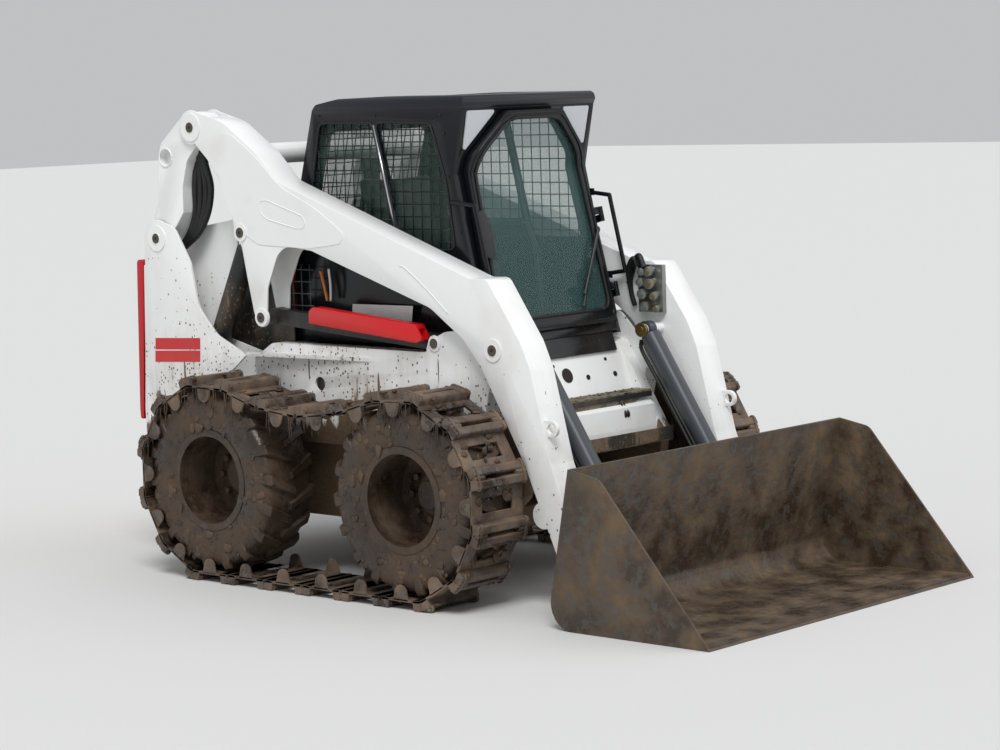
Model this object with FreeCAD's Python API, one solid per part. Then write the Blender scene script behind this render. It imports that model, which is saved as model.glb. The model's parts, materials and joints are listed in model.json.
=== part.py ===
import FreeCAD, Part
import math
import os
from FreeCAD import Vector

# Skid steer loader on four rubber tyres that wear steel over-the-tyre tracks.
# Lengths are in millimetres. X points forward, Y to the machine's left, Z up.
# Shapes are drawn from the rear axle's line: x is counted forward from it, and z from datum_drop above
# the ground, the level that a bare tyre of the same machine would stand on. save() moves them to the
# part's origin, which lies on the ground under the middle of the machine.

# Wheels, tyres and track
wheel_base = 1209.0
axle_z = 450.0
tyre_r = 419.0
rim_r = 212.0
rim_wall = 12.0
tyre_width = 292.0
tyre_sides = 28
tyre_gap = 29.0
hub_inset = 115.0
disc_thick = 20.0
axle_r = 62.0
shoe_plate = 12.0
shoe_height = 46.0
shoe_seat = 0.4
shoe_width = 318.0
bottom_shoes = 5
pin_height = 28.0
shoe_gap = 14.0
shoe_slot = (64.0, 190.0)
grouser = 40.0
ear_wall = 10.0
ear_drop = 62.0
ear_length = 92.0

# Lift linkage, (x, z) of each pin at rest, and the arm's and plates' layers across the machine
link_foot = (-642.0, 1519.0)
link_head = (-371.0, 2039.0)
control_front = (1089.0, 1083.0)
control_rear = (62.0, 1167.0)
lift_base = (-470.0, 720.0)
lift_eye = (-57.0, 1554.0)
hinge = (1890.0, 205.0)
tilt_base = (1484.0, 1074.0)
tilt_eye = (1958.6, 338.4)
arm_clear = 44.0
arm_width = 150.0
arm_wall = 10.0
post_wall = 12.0
side_gap = 6.0
pin_play = 0.05
pin_r = 25.0
link_r = 72.0
control_r = 38.0
control_width = 56.0
control_gap = 16.0
lift_barrel_r = 50.0
lift_rod_r = 26.0
tilt_barrel_r = 45.0
tilt_rod_r = 23.0
tilt_inset = 90.0
eye_width = 44.0
barrel_wall = 8.0
hub_r = 70.0
cross_r = 48.0
cross_low = (1738.0, 386.0)

# Frame, cab, bucket
case_width = 60.0
fender_width = 90.0
belly_z = 250.0
cab_half = 446.0
cab_wall = 30.0
glass = 6.0
door_depth = 30.0
door_gap = 6.0
hood_overlap = 18.0
hood_front = 85.0
bucket_half = 945.0
bucket_wall = 10.0
bucket_tip = 2843.0
tail_rear = 821.0
tie_r = 20.0
rear_tie = (-728.0, 645.0)
front_tie = (1778.0, 753.0)
lug_wide = 18.0
engine_low = 400.0
cab_low = 1050.0
cab_floor = 1062.0
seat_play = 0.3
covers_low = 640.0
cushion_low = 1300.0
cushion_top = 1390.0
grab_r = 10.0
door_inset = 33.0
plate_lean = (85.0, -90.0, 170.0, 330.0)
plate_depth = 60.0
attach_over = 70.0
eye_room = 60.0

# Layers across the machine, from the cab's side outwards
arm_in = cab_half + arm_clear
arm_out = arm_in + arm_width
tyre_y = arm_out + tyre_gap + tyre_width / 2
hub_y = tyre_y - hub_inset
lift_y = (arm_in + arm_out) / 2
tilt_y = arm_in - tilt_inset
attach_half = arm_in + attach_over
case_out = arm_in
case_in = case_out - case_width
fender_y = case_out + fender_width
hood_half = cab_half + hood_overlap
cover_in = hood_half + side_gap
door_half = cab_half - door_inset
control_y = arm_in + control_gap

axle_height = tyre_r + shoe_seat + shoe_height
datum_drop = axle_height - axle_z
x_mid = (bucket_tip - tail_rear) / 2
move = Vector(-x_mid, 0, datum_drop)

os.makedirs("parts", exist_ok=True)


def save(name, *shapes):
    """Write one node's solids, moved to the part's origin."""
    solids = []
    for shape in shapes:
        solids += shape.Solids
    node = solids[0] if len(solids) == 1 else Part.makeCompound(solids)
    node = node.translated(move)
    box = node.BoundBox
    print("%-22s %2d solids  x %7.0f %7.0f  y %6.0f %6.0f  z %6.0f %6.0f" % (
        name, len(solids), box.XMin, box.XMax, box.YMin, box.YMax, box.ZMin, box.ZMax))
    node.exportStep("parts/%s.step" % name)


def loop(points, place):
    """A closed wire through rows (a, b, radius), each corner rounded by its radius; place maps (a, b)."""
    corners = []
    count = len(points)
    for i, (a, b, r) in enumerate(points):
        back = (points[i - 1][0] - a, points[i - 1][1] - b)
        ahead = (points[(i + 1) % count][0] - a, points[(i + 1) % count][1] - b)
        lb, la = math.hypot(*back), math.hypot(*ahead)
        u, v = (back[0] / lb, back[1] / lb), (ahead[0] / la, ahead[1] / la)
        half = math.acos(max(-1.0, min(1.0, u[0] * v[0] + u[1] * v[1]))) / 2
        if r <= 0 or half > 1.55:
            corners.append([(a, b)])
            continue
        cut = min(r / math.tan(half), 0.48 * lb, 0.48 * la)
        r = cut * math.tan(half)
        w = (u[0] + v[0], u[1] + v[1])
        lw = math.hypot(*w)
        reach = (r / math.sin(half) - r) / lw
        corners.append([(a + u[0] * cut, b + u[1] * cut),
                        (a + w[0] * reach, b + w[1] * reach),
                        (a + v[0] * cut, b + v[1] * cut)])
    edges = []
    for i, corner in enumerate(corners):
        if len(corner) == 3:
            edges.append(Part.Arc(*[place(*p) for p in corner]).toShape())
        start, end = place(*corner[-1]), place(*corners[(i + 1) % count][0])
        if start.distanceToPoint(end) > 0.01:
            edges.append(Part.LineSegment(start, end).toShape())
    return Part.Wire(edges)


def side(points, y0, y1):
    """A plate in the side view, rows (x, z, radius), from y0 to y1."""
    wire = loop(points, lambda a, b: Vector(a, y0, b))
    return Part.Face(wire).extrude(Vector(0, y1 - y0, 0))


def front(points, x0, x1):
    """A plate in the front view, rows (y, z, radius), from x0 to x1."""
    wire = loop(points, lambda a, b: Vector(x0, a, b))
    return Part.Face(wire).extrude(Vector(x1 - x0, 0, 0))


def box(x0, x1, y0, y1, z0, z1):
    return Part.makeBox(x1 - x0, y1 - y0, z1 - z0, Vector(x0, y0, z0))


def across(pin, r, y0, y1):
    """A round bar along Y at pin (x, z)."""
    return Part.makeCylinder(r, y1 - y0, Vector(pin[0], y0, pin[1]), Vector(0, 1, 0))


def bar(start, end, r):
    """A round bar from point to point."""
    way = end.sub(start)
    return Part.makeCylinder(r, way.Length, start, way)


def symmetric(rows):
    """A closed front view outline from its left half's rows (y, z, radius), lowest first."""
    return rows + [(-y, z, r) for y, z, r in reversed(rows)]


def mirrored(shape):
    return shape.mirror(Vector(0, 0, 0), Vector(0, 1, 0))


def both(shape):
    """The shape and its mirror image, as two solids."""
    return [shape, mirrored(shape)]


def inset(points, t):
    """The outline rows moved inwards by t, for an outline that runs anticlockwise."""
    moved = []
    count = len(points)
    for i, (a, b, r) in enumerate(points):
        pa, pb, _ = points[i - 1]
        na, nb, _ = points[(i + 1) % count]
        u, v = (a - pa, b - pb), (na - a, nb - b)
        lu, lv = math.hypot(*u), math.hypot(*v)
        n1, n2 = (-u[1] / lu, u[0] / lu), (-v[1] / lv, v[0] / lv)
        scale = t / (1 + n1[0] * n2[0] + n1[1] * n2[1])
        turn = u[0] * v[1] - u[1] * v[0]
        moved.append((a + (n1[0] + n2[0]) * scale, b + (n1[1] + n2[1]) * scale,
                      max(r - t, 0) if turn > 0 else (r + t if r > 0 else 0)))
    return moved


def fuse(first, *others):
    return first.multiFuse([o for o in others]).removeSplitter()


# Track: pins of one loop, found from the wheel's size, then one shoe between each pair of pins
def track_pins():
    """Pin centres (x, z) of the loop, anticlockwise from the front wheel's lowest shoe."""
    pitch = wheel_base / bottom_shoes
    flat_r = tyre_r + shoe_seat + pin_height
    corner_r = math.hypot(flat_r, pitch / 2)
    step = 2 * math.atan(pitch / 2 / flat_r)
    # the upper run leaves each wheel at the first shoe that the wheel is steeper than
    for wrap in range(round(math.pi / step), round(math.pi / step) + 3):
        turns = [-math.pi / 2 + step * (k + 0.5) for k in range(wrap + 1)]
        front_pins = [(wheel_base + corner_r * math.cos(t), axle_z + corner_r * math.sin(t)) for t in turns]
        rear_pins = [(wheel_base - x, z) for x, z in reversed(front_pins)]
        span = front_pins[-1][0] - rear_pins[0][0]
        count = math.ceil(span / pitch + 0.02)
        low, high = 0.0, 3.0
        for _ in range(60):
            pull = (low + high) / 2
            reach = sum(pitch / math.hypot(1, pull * ((count - 1) / 2 - k)) for k in range(count))
            low, high = (pull, high) if reach > span else (low, pull)
        if math.atan(pull * (count - 1) / 2) < step * (wrap + 1) - math.pi:
            break
    x, z = front_pins[-1]
    sag = []
    for k in range(count - 1):
        slope = pull * ((count - 1) / 2 - k)
        x -= pitch / math.hypot(1, slope)
        z -= slope * pitch / math.hypot(1, slope)
        sag.append((x, z))
    under = [(pitch * (k + 0.5), axle_z - flat_r) for k in range(bottom_shoes)]
    return front_pins + sag + rear_pins + under, pitch


def shoe(pitch):
    """One shoe, its running face at z = 0 with x along the loop, and its grousers outwards at plus z."""
    end = (pitch - shoe_gap) / 2
    inner, outer = tyre_y - shoe_width / 2, tyre_y + shoe_width / 2
    bar_in = end - grouser
    rows = [(-end, 0, 0), (end, 0, 0), (end, shoe_height, 0), (bar_in, shoe_height, 0),
            (bar_in - 6, shoe_plate, 0), (6 - bar_in, shoe_plate, 0), (-bar_in, shoe_height, 0),
            (-end, shoe_height, 0)]
    body = side(rows, inner, outer)
    slot_x, slot_y = shoe_slot[0] / 2, shoe_slot[1] / 2
    body = body.cut(box(-slot_x, slot_x, tyre_y - slot_y, tyre_y + slot_y, -1, shoe_plate + 1))
    ear = [(-ear_length / 2, 0, 0), (-ear_length / 4, -ear_drop, 0), (ear_length / 4, -ear_drop, 0),
           (ear_length / 2, 0, 0)]
    for y0 in (inner, outer - ear_wall):
        body = body.fuse(side(ear, y0, y0 + ear_wall))
    # the hinge bar that carries the next shoe, sunk below the grousers' tops
    body = body.fuse(box(end - 1, pitch / 2 + 16, inner, outer, pin_height - 16, pin_height + 2))
    return body.removeSplitter()


def track():
    pins, pitch = track_pins()
    print("track shoes per side", len(pins))
    pattern = shoe(pitch)
    shoes = []
    for i, (x, z) in enumerate(pins):
        nx, nz = pins[(i + 1) % len(pins)]
        angle = math.atan2(nz - z, nx - x)
        # the shoe's own +x runs against the loop, so that its plus z points away from the wheels
        copy = pattern.copy()
        copy.translate(Vector(0, 0, -pin_height))
        copy.rotate(Vector(0, 0, 0), Vector(0, 1, 0), 180 - math.degrees(angle))
        copy.translate(Vector((x + nx) / 2, 0, (z + nz) / 2))
        shoes.append(copy)
    return shoes


shoes = track()
save("track_left", fuse(shoes[0], *shoes[1:]))
save("track_right", fuse(mirrored(shoes[0]), *[mirrored(s) for s in shoes[1:]]))

wheels = [("front_left", wheel_base, 1), ("front_right", wheel_base, -1),
          ("rear_left", 0.0, 1), ("rear_right", 0.0, -1)]


def turned(rows, x, hand):
    """A ring about the axle's line, from rows (r, y) of its section; hand is 1 for left, -1 for right."""
    points = [Vector(x, hand * y, axle_z + r) for r, y in rows]
    face = Part.Face(Part.makePolygon(points + [points[0]]))
    return face.revolve(Vector(x, 0, axle_z), Vector(0, 1, 0), 360)


def faceted(rows, x, hand):
    """The same kind of ring with flat sides, which keeps the tyres' share of the mesh small."""
    rings = []
    for k in range(tyre_sides):
        t = -math.pi / 2 + 2 * math.pi * k / tyre_sides
        rings.append([Vector(x + r * math.cos(t), hand * y, axle_z + r * math.sin(t)) for r, y in rows])
    faces = []
    for k, ring in enumerate(rings):
        near = rings[k - 1]
        for i in range(len(rows)):
            corners = [near[i - 1], near[i], ring[i], ring[i - 1]]
            faces.append(Part.Face(Part.makePolygon(corners + [corners[0]])))
    solid = Part.Solid(Part.makeShell(faces))
    return solid if solid.Volume > 0 else solid.reversed()


bead_r = rim_r / math.cos(math.pi / tyre_sides) + 0.2
inner_r = rim_r - rim_wall
# sections as rows (r, y); the tyre's y is first a share of its half width, from its middle plane
tyre_rows = [(bead_r, -0.8), (tyre_r * 0.8, -1), (tyre_r, -0.84), (tyre_r, 0.84), (tyre_r * 0.8, 1),
             (bead_r, 0.8)]
tyre_rows = [(r, tyre_y + share * tyre_width / 2) for r, share in tyre_rows]
rim_in, rim_out = tyre_y - 0.43 * tyre_width, tyre_y + 0.43 * tyre_width
disc_y, cone_y = hub_y + disc_thick, hub_y + 62
rim_rows = [(rim_r, rim_in), (rim_r, rim_out), (rim_r + 20, rim_out), (rim_r + 20, rim_out + 10),
            (inner_r, rim_out + 10), (inner_r, disc_y + 14), (inner_r - 48, disc_y + 14), (axle_r + 18, cone_y),
            (0, cone_y), (0, disc_y), (inner_r, disc_y), (inner_r, rim_in)]
for name, x, hand in wheels:
    save("tyre_" + name, faceted(tyre_rows, x, hand))
    save("rim_" + name, turned(rim_rows, x, hand))

axles = []
for x in (0.0, wheel_base):
    tube = across((x, axle_z), axle_r, case_out, disc_y - seat_play)
    flange = across((x, axle_z), axle_r + 15, hub_y, disc_y - seat_play)
    axles += both(fuse(tube, flange))
save("axles", *axles)


# Frame: chain cases, belly, fender boxes and the ears that carry the control links' front pins
case = side([(-150, belly_z, 30), (1300, belly_z, 120), (1500, 420, 60), (1528, 624, 0),
             (1291, 1011, 0), (1180, 1040, 0), (1040, 640, 60), (-150, 640, 40)], case_in, case_out)
fender_rear = -59.7
fender_rows = [(fender_rear, 972, 0), (fender_rear, 600, 0), (1330, 600, 0), (1400, 900, 40), (1330, 1040, 0),
               (60, 1045, 60)]
fender = side(fender_rows, case_out, fender_y)
fender = fender.cut(side(inset(fender_rows, post_wall), case_out + post_wall, fender_y - post_wall))
fender = fender.cut(across((364, 870), 32, fender_y - post_wall - 1, fender_y + 1))
ledge_corners = [Vector(x, y, 985) for x, y in ((fender_rear, fender_y), (715, fender_y), (fender_rear, arm_out))]
ledge = Part.Face(Part.makePolygon(ledge_corners + ledge_corners[:1])).extrude(Vector(0, 0, 18))
ear_rows = [(1030, 1038, 0), (1420, 880, 0), (1390, 1000, 30), (1250, 1145, 50), (1150, 1135, 60),
            (1050, 1090, 30)]
ear = side(ear_rows, fender_y - post_wall, fender_y)
ear_in = side(ear_rows, case_out, case_out + 10)
ear_pin = across(control_front, pin_r, case_out + 5, fender_y + 8)
belly = side([(-720, 300, 0), (-150, belly_z, 0), (1300, belly_z, 0), (1300, belly_z + 10, 0),
              (-150, belly_z + 10, 0), (-720, 310, 0)], -case_in, case_in)
rail = side([(-720, 300, 0), (-150, belly_z, 0), (-150, 560, 0), (-760, 560, 0)], case_in, case_out)
save("chain_cases", *both(fuse(case, fender, ledge, ear, ear_in, ear_pin, rail)))
bumper = side([(-796, 480, 20), (-735, 480, 0), (-735, 634, 0), (-796, 634, 20)], -case_out + 2, case_out - 2)
bumper = bumper.cut(rail).cut(mirrored(rail))
floor_beams = [box(x, x + 120, -case_in, case_in, belly_z + 10, belly_z + 90) for x in (560.0, 1180.0)]
floor_beams += [box(x, x + 60, -case_in, case_in, belly_z + 5, engine_low - seat_play) for x in (-560.0, -60.0)]
cab_beams = [box(x, x + 80, -reach, reach, 1000, cab_low - seat_play)
             for x, reach in ((130.0, case_out), (1160.0, case_in))]
save("main_frame", fuse(belly, *floor_beams), bumper, *cab_beams)

# Uprights: two plates each, joined by a rear web below the link and a web over the wheel
post_out = [(-640, 470, 40), (-480, 470, 0), (-165, 905, 0), (-60, 985, 0), (-100, 1010, 0), (-250, 1075, 120),
            (-370, 1200, 150), (-415, 1410, 80), (-520, 1575, 90), (-642, 1607, 0), (-729, 1530, 0),
            (-755, 1100, 0), (-782, 700, 0), (-778, 560, 60)]
post_in = [(-640, 470, 40), (-60, 470, 0), (-60, 985, 0), (-330, 1050, 0), (-330, 1250, 60), (-236, 1480, 60),
           (-215, 1610, 40), (-437, 1576, 60), (-642, 1607, 0), (-729, 1530, 0), (-755, 1100, 0),
           (-782, 700, 0), (-778, 560, 60)]
arch = across((0, axle_z), 490, arm_out - post_wall - 1, arm_out + 1)
link_pin = across(link_foot, pin_r, arm_out - 0.5, arm_out + 9)
post = fuse(side(post_out, arm_out - post_wall, arm_out), across(link_foot, 88, arm_out - post_wall, arm_out))
post = post.cut(arch).cut(across(rear_tie, tie_r, arm_out - post_wall - 1, arm_out + 1))
inner = fuse(side(post_in, arm_in, arm_in + post_wall), across(link_foot, 88, arm_in, arm_in + post_wall))
web = side([(-775, 700, 0), (-763, 700, 0), (-733, 1390, 0), (-745, 1390, 0)], arm_in, arm_out)
floor = side([(-778, 590, 0), (-640, 482, 0), (-490, 482, 0), (-490, 494, 0), (-636, 494, 0), (-766, 594, 0)],
             arm_in, arm_out)
base_pin = across(lift_base, pin_r, arm_in + 1, arm_out + 9)
post = fuse(post, inner, web, floor, base_pin, link_pin)
save("upright_right", mirrored(post))
upright_left = post

# Front panel and steps between the cheeks of the chain cases
panel_rows = [(1286, 1011, 0), (1376, 776, 0), (1440, 768, 0), (1490, 735, 0), (1500, 640, 0), (1500, 560, 0),
              (1492, 560, 0), (1492, 640, 0), (1482, 730, 0), (1437, 760, 0), (1370, 768, 0), (1278, 1007, 0)]
panel = side(panel_rows, -case_in, case_in)
panel = panel.cut(Part.makeCylinder(33, 200, Vector(1250, -145, 885), Vector(1, 0, 0.42)))
save("front_panel", panel)
# each step's rear and front edge, height and right-hand end; slots of 40 mm every 60 mm
steps = []
for x0, x1, z, right in ((1376.5, 1470, 800, -300), (1500.3, 1590, 600, -case_in)):
    tread = box(x0, x1, right, case_in, z - 24 + seat_play, z)
    starts = [right + 25 + 60 * k for k in range(int((case_in - right - 30) / 60))]
    slots = [box(x0 + 14, x1 - 14, y, y + 40, z - 30, z + 1) for y in starts]
    steps.append(tread.cut(slots[0].multiFuse(slots[1:])))
save("steps", *steps)

# Engine, its side covers, hood and tailgate
save("engine_block", box(-600, 40, -270, 270, engine_low, 1100))
hood_rows = [(-708, 1412, 0), (hood_front, 1452, 0), (hood_front, 1488, 30), (-400, 1476, 120),
             (-708, 1440, 40)]
cover_rows = [(-700, covers_low + seat_play, 0), (118, covers_low + seat_play, 0), (90, 1452 - side_gap, 0),
              (-700, 1412 - side_gap, 0)]
save("engine_covers", *both(side(cover_rows, cover_in, cover_in + 8)))
hood = side(hood_rows, -hood_half, hood_half)
hood = hood.cut(side(inset(hood_rows, 8), -hood_half + 10, hood_half - 10))
slots = [box(-660 + 44 * k, -640 + 44 * k, -360, 360, 1380, 1520) for k in range(11)]
hood = hood.cut(slots[0].multiFuse(slots[1:]))
tail_rows = [(25 - tail_rear, 650, 0), (70 - tail_rear, 1370, 0), (67 - tail_rear, 1412, 20),
             (25 - tail_rear, 1418, 20), (-tail_rear, 700, 20), (3 - tail_rear, 650, 20)]
tail = side(tail_rows, -arm_out, arm_out - 8)


def hinge_pair(at, way, fixed_to, moving_to, r=11.0, length=34.0, pin=6.0):
    """A hinge: a bored barrel with a leaf to fixed_to, and a pin and barrel with a leaf to moving_to."""
    way = way * (1 / way.Length)
    low, top = at - way * length, at + way * length
    split = at - way * seat_play
    fixed = bar(low, split, r).cut(bar(low - way * 10, at + way * 10, pin + pin_play))
    moving = fuse(bar(at, top, r), bar(low, at + way * 1, pin))
    leaves = []
    for start, end, target in ((low, split, fixed_to), (at, top, moving_to)):
        flat = target - (start + end) * 0.5
        side_way = flat.cross(way)
        side_way = side_way * (4 / side_way.Length)
        flat = flat - way * flat.dot(way)
        corner = [start + side_way, start + side_way + flat, start - side_way + flat, start - side_way]
        leaf = Part.Face(Part.makePolygon(corner + [corner[0]])).extrude(end - start)
        leaves.append(leaf)
    fixed = fixed.fuse(leaves[0].cut(bar(low - way * 10, at + way * 10, r - 1)))
    moving = moving.fuse(leaves[1])
    return fixed.removeSplitter(), moving.removeSplitter()


tail_way = Vector(45, 0, 720)
tail_fixed = []
for z in (800.0, 1240.0):
    x = 15 - tail_rear + 45 * (z - 650) / 720
    at = Vector(x, arm_out + 5, z)
    fixed_to, moving_to = Vector(x + 34, arm_out, z - 17), Vector(x - 14, arm_out - 12, z + 17)
    fixed, moving = hinge_pair(at, tail_way, fixed_to, moving_to)
    tail_fixed.append(fixed)
    tail = tail.fuse(moving)
tail = tail.removeSplitter()
save("tailgate", tail)
save("upright_left", fuse(upright_left, *tail_fixed))
lamps = [box(-tail_rear, -785, y - 45, y + 45, 1290, 1350) for y in (-540, 532)]
save("tail_lamps", *[lamp.cut(tail) for lamp in lamps])

hood_fixed = []
for y in (-330.0, 330.0):
    at = Vector(hood_front - 8, y, 1500)
    fixed_to, moving_to = Vector(96, y - 17, 1500), Vector(hood_front - 8, y + 17, 1482)
    fixed, moving = hinge_pair(at, Vector(0, 1, 0), fixed_to, moving_to)
    hood_fixed.append(fixed)
    hood = hood.fuse(moving)
save("hood", hood.removeSplitter())

# Cab: walls, roof, front ring and floor, open where the windows and the door are
inner_half = cab_half - cab_wall
wall_rows = [(95, 1050, 0), (1290, 1050, 0), (1250, 1180, 0), (1105, 1813, 60), (1165, 2095, 0), (240, 2100, 0),
             (150, 1780, 60), (95, 1500, 0)]
wall = side(wall_rows, inner_half, cab_half)
# the two side windows share a leaning bar: its middle at the sill (x, z) and at the head
bar_low, bar_high, bar_half = (766, 1480), (630, 2042), 9
bar_sill = bar_low[0] + (bar_high[0] - bar_low[0]) * (1560 - bar_low[1]) / (bar_high[1] - bar_low[1])
windows = [[(285, 2042, 30), (222, 1745, 20), (222, 1560, 30), (bar_sill - bar_half, 1560, 12),
            (bar_high[0] - bar_half, 2042, 12)],
           [(bar_high[0] + bar_half, 2042, 12), (bar_low[0] + bar_half, 1480, 20), (1105, 1480, 40),
            (1062, 1782, 80), (978, 2035, 40)]]
panes = []
for window in windows:
    wall = wall.cut(side(window, inner_half - 1, cab_half + 1))
    panes.append(side(inset(window, seat_play), inner_half + 4, inner_half + 4 + glass))
rear = side([(95, 1050, 0), (125, 1050, 0), (125, 1500, 0), (180, 1780, 60), (262, 2070, 0), (240, 2100, 0),
             (150, 1780, 60), (95, 1500, 0)], -inner_half, inner_half)
rear_window = symmetric([(cab_half - 116, 1600, 40), (cab_half - 116, 2000, 40)])
rear = rear.cut(front(rear_window, 60, 320))
floor = box(125, 1270, -inner_half, inner_half, 1050, cab_floor)
ring_rows = [(1255, cab_floor, 0), (1290, cab_floor, 0), (1250, 1180, 0), (1105, 1813, 60), (1165, 2095, 0),
             (1125, 2095, 0), (1065, 1813, 60), (1212, 1180, 0)]
ring = side(ring_rows, -inner_half, inner_half)
opening = symmetric([(door_half - 38, 1120, 60), (door_half - 68, 1870, 80), (160, 2060, 60)])
ring = ring.cut(front(opening, 900, 1400))
lamp_rows = [(cab_half - 38, 2085, 10), (cab_half - 226, 2085, 10), (cab_half - 42, 1903, 10)]
lamp_band = side([(1105, 1813, 0), (1167, 2105, 0), (1150, 2105, 0), (1085, 1813, 0)], -cab_half, cab_half)
lamp_out = 6.0
lamp = front(lamp_rows, 900, 1400).common(lamp_band.translated(Vector(lamp_out, 0, 0)))
lamp_seat = front(inset(lamp_rows, -seat_play), 900, 1400)
lamp_seat = lamp_seat.common(lamp_band.translated(Vector(lamp_out - seat_play, 0, 0)))
shell = fuse(rear, wall, mirrored(wall), floor, ring)
shell = shell.cut(lamp_seat).cut(mirrored(lamp_seat))
door_way = Vector(-145, 0, 633)
door_moving = []
for z in (1250.0, 1590.0):
    x = 1250 - 145 * (z - 1180) / 633
    at = Vector(x + 48, cab_half - 14, z)
    fixed_to = Vector(x - 3, cab_half - 6, z - 17)
    moving_to = Vector(x + 30, door_half - 17, z + 17)
    fixed, moving = hinge_pair(at, door_way, fixed_to, moving_to)
    shell = shell.fuse(fixed)
    door_moving.append(moving)
shell = fuse(shell, *hood_fixed)
save("cab_shell", shell)
save("work_lamps", *both(lamp))
grab_y = cab_half + grab_r + seat_play
grab = [Vector(x, grab_y, z) for x, z in ((1100, 1690), (1235, 1676), (1318, 1330), (1185, 1312))]
grab_bar = [bar(a, b, grab_r) for a, b in zip(grab[:-1], grab[1:])]
grab_bar += [Part.makeSphere(grab_r, p) for p in grab[1:3]]
grab_feet = [box(1095, 1150, cab_half + seat_play, cab_half + 6, 1674, 1706),
             box(1180, 1245, cab_half + seat_play, cab_half + 6, 1296, 1328)]
save("grab_handles", *both(fuse(grab_bar[0], *(grab_bar[1:] + grab_feet))))
rear_pane = side([(123, 1580, 0), (129, 1580, 0), (168, 1780, 0), (236, 2022, 0), (230, 2022, 0),
                  (162, 1780, 0)], -cab_half, cab_half)
save("rear_glass", rear_pane.common(front(inset(rear_window, seat_play), 60, 320)))
roof_rows = [(240, 2100 + seat_play, 0), (1166, 2095 + seat_play, 0), (1176, 2118, 0), (1170, 2152, 28),
             (700, 2156, 200), (400, 2150, 200), (262, 2126, 40)]
roof = side(roof_rows, -cab_half, cab_half)
roof = roof.common(front(symmetric([(cab_half, 2080, 0), (cab_half, 2160, 42)]), 200, 1200))
sky = (400, 980, -280, 280)
roof = roof.cut(box(*sky, 2000, 2200))
save("cab_roof", roof)
save("skylight", box(sky[0] + seat_play, sky[1] - seat_play, sky[2] + seat_play, sky[3] - seat_play, 2138, 2144))
save("side_glass", *(both(panes[0]) + both(panes[1])))

# Seat, controls
save("seat_base", fuse(box(330, 820, -235, 235, cab_floor + seat_play, cushion_low),
                       box(240, 330, -235, 235, cab_floor + seat_play, 1420)))
save("seat_cushion", box(345, 800, -225, 225, cushion_low + seat_play, cushion_top))
back_foot = cushion_top + 2 * seat_play
save("seat_back", side([(345, back_foot, 0), (430, back_foot, 0), (350, 1800, 30), (262, 1800, 30)], -225, 225))
levers = []
for hand in (1, -1):
    post_low = Vector(960, hand * (cab_half - 156), cab_floor + 2)
    post_mid = Vector(930, hand * (cab_half - 156), 1420)
    post_top = Vector(900, hand * (cab_half - 196), 1560)
    levers.append(fuse(bar(post_low, post_mid, 16), Part.makeSphere(18, post_mid), bar(post_mid, post_top, 18)))
save("steering_levers", *levers)

# Door: a ring bent with the cab's front, its pane, latch and wiper
door_rows = [(x + door_gap + 4, z, r) for x, z, r in
             [(1267, 1105, 0), (1250, 1180, 0), (1105, 1813, 60), (1161, 2078, 0)]]
door_rows = door_rows + [(x + door_depth, z, r) for x, z, r in reversed(door_rows)]
slab = side(door_rows, -cab_half, cab_half)
outer = symmetric([(door_half, 1105, 50), (door_half - 25, 1880, 90), (185, 2078, 60)])
hole = symmetric([(door_half - 41, 1165, 60), (door_half - 68, 1865, 90), (160, 2045, 60)])
frame = slab.common(front(outer, 900, 1500)).cut(front(hole, 900, 1500))
save("door_frame", fuse(frame, *door_moving))
pane_rows = [(x + 12, z, r) for x, z, r in door_rows[:4]] + [(x - 12, z, r) for x, z, r in door_rows[4:]]
pane = side(pane_rows, -cab_half, cab_half).common(front(inset(hole, seat_play), 900, 1500))
save("door_glass", pane)
latch_rows = [(x + door_depth + seat_play, z, r) for x, z, r in door_rows[:4]]
latch_rows = latch_rows + [(x + 16, z, r) for x, z, r in reversed(latch_rows)]
latch = side(latch_rows, -cab_half, cab_half).common(
    front([(18 - door_half, 1440, 30), (78 - door_half, 1440, 30), (88 - door_half, 1560, 30),
           (63 - door_half, 1650, 30), (18 - door_half, 1650, 30)], 900, 1500))
save("door_latch", latch)
door_normal = Vector(633, 0, 145) * (1 / math.hypot(633, 145))
wipe_seat = Vector(1212.1, door_half - 34, 1520) + door_normal * seat_play
wipe_top = wipe_seat + door_normal * 16
wipe_low = Vector(1277, door_half - 198, 1240)
blade = bar(Vector(1237, door_half - 95, 1397), Vector(1289, door_half - 223, 1187), 6)
save("wiper", fuse(bar(wipe_seat, wipe_top, 14), bar(wipe_top, wipe_low, 8), blade))

# Control links with their rods and the red lift stop
stop_y = control_y + control_width
link_rows = [(control_rear[0], control_rear[1] - 36, 0), (control_front[0], control_front[1] - 36, 0),
             (control_front[0], control_front[1] + 36, 0), (control_rear[0], control_rear[1] + 36, 0)]
link = fuse(side(link_rows, control_y, stop_y),
            across(control_rear, control_r, control_y, arm_out - arm_wall - side_gap),
            across(control_front, control_r, control_y, stop_y))
for pin in (control_front, control_rear):
    link = link.cut(across(pin, pin_r + pin_play, control_y - 1, arm_out))
save("control_link_left", link)
save("control_link_right", mirrored(link))
stop = side([(345, 1148, 0), (1010, 1085, 0), (1050, 1100, 30), (1010, 1165, 0), (370, 1222, 30),
             (345, 1200, 0)], stop_y + seat_play, stop_y + 55)
stop = stop.cut(side([(300, 1162, 0), (1100, 1096, 0), (1100, 1140, 0), (300, 1206, 0)],
                     stop_y + 10, stop_y + 45))
save("lift_stop", mirrored(stop))

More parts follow.
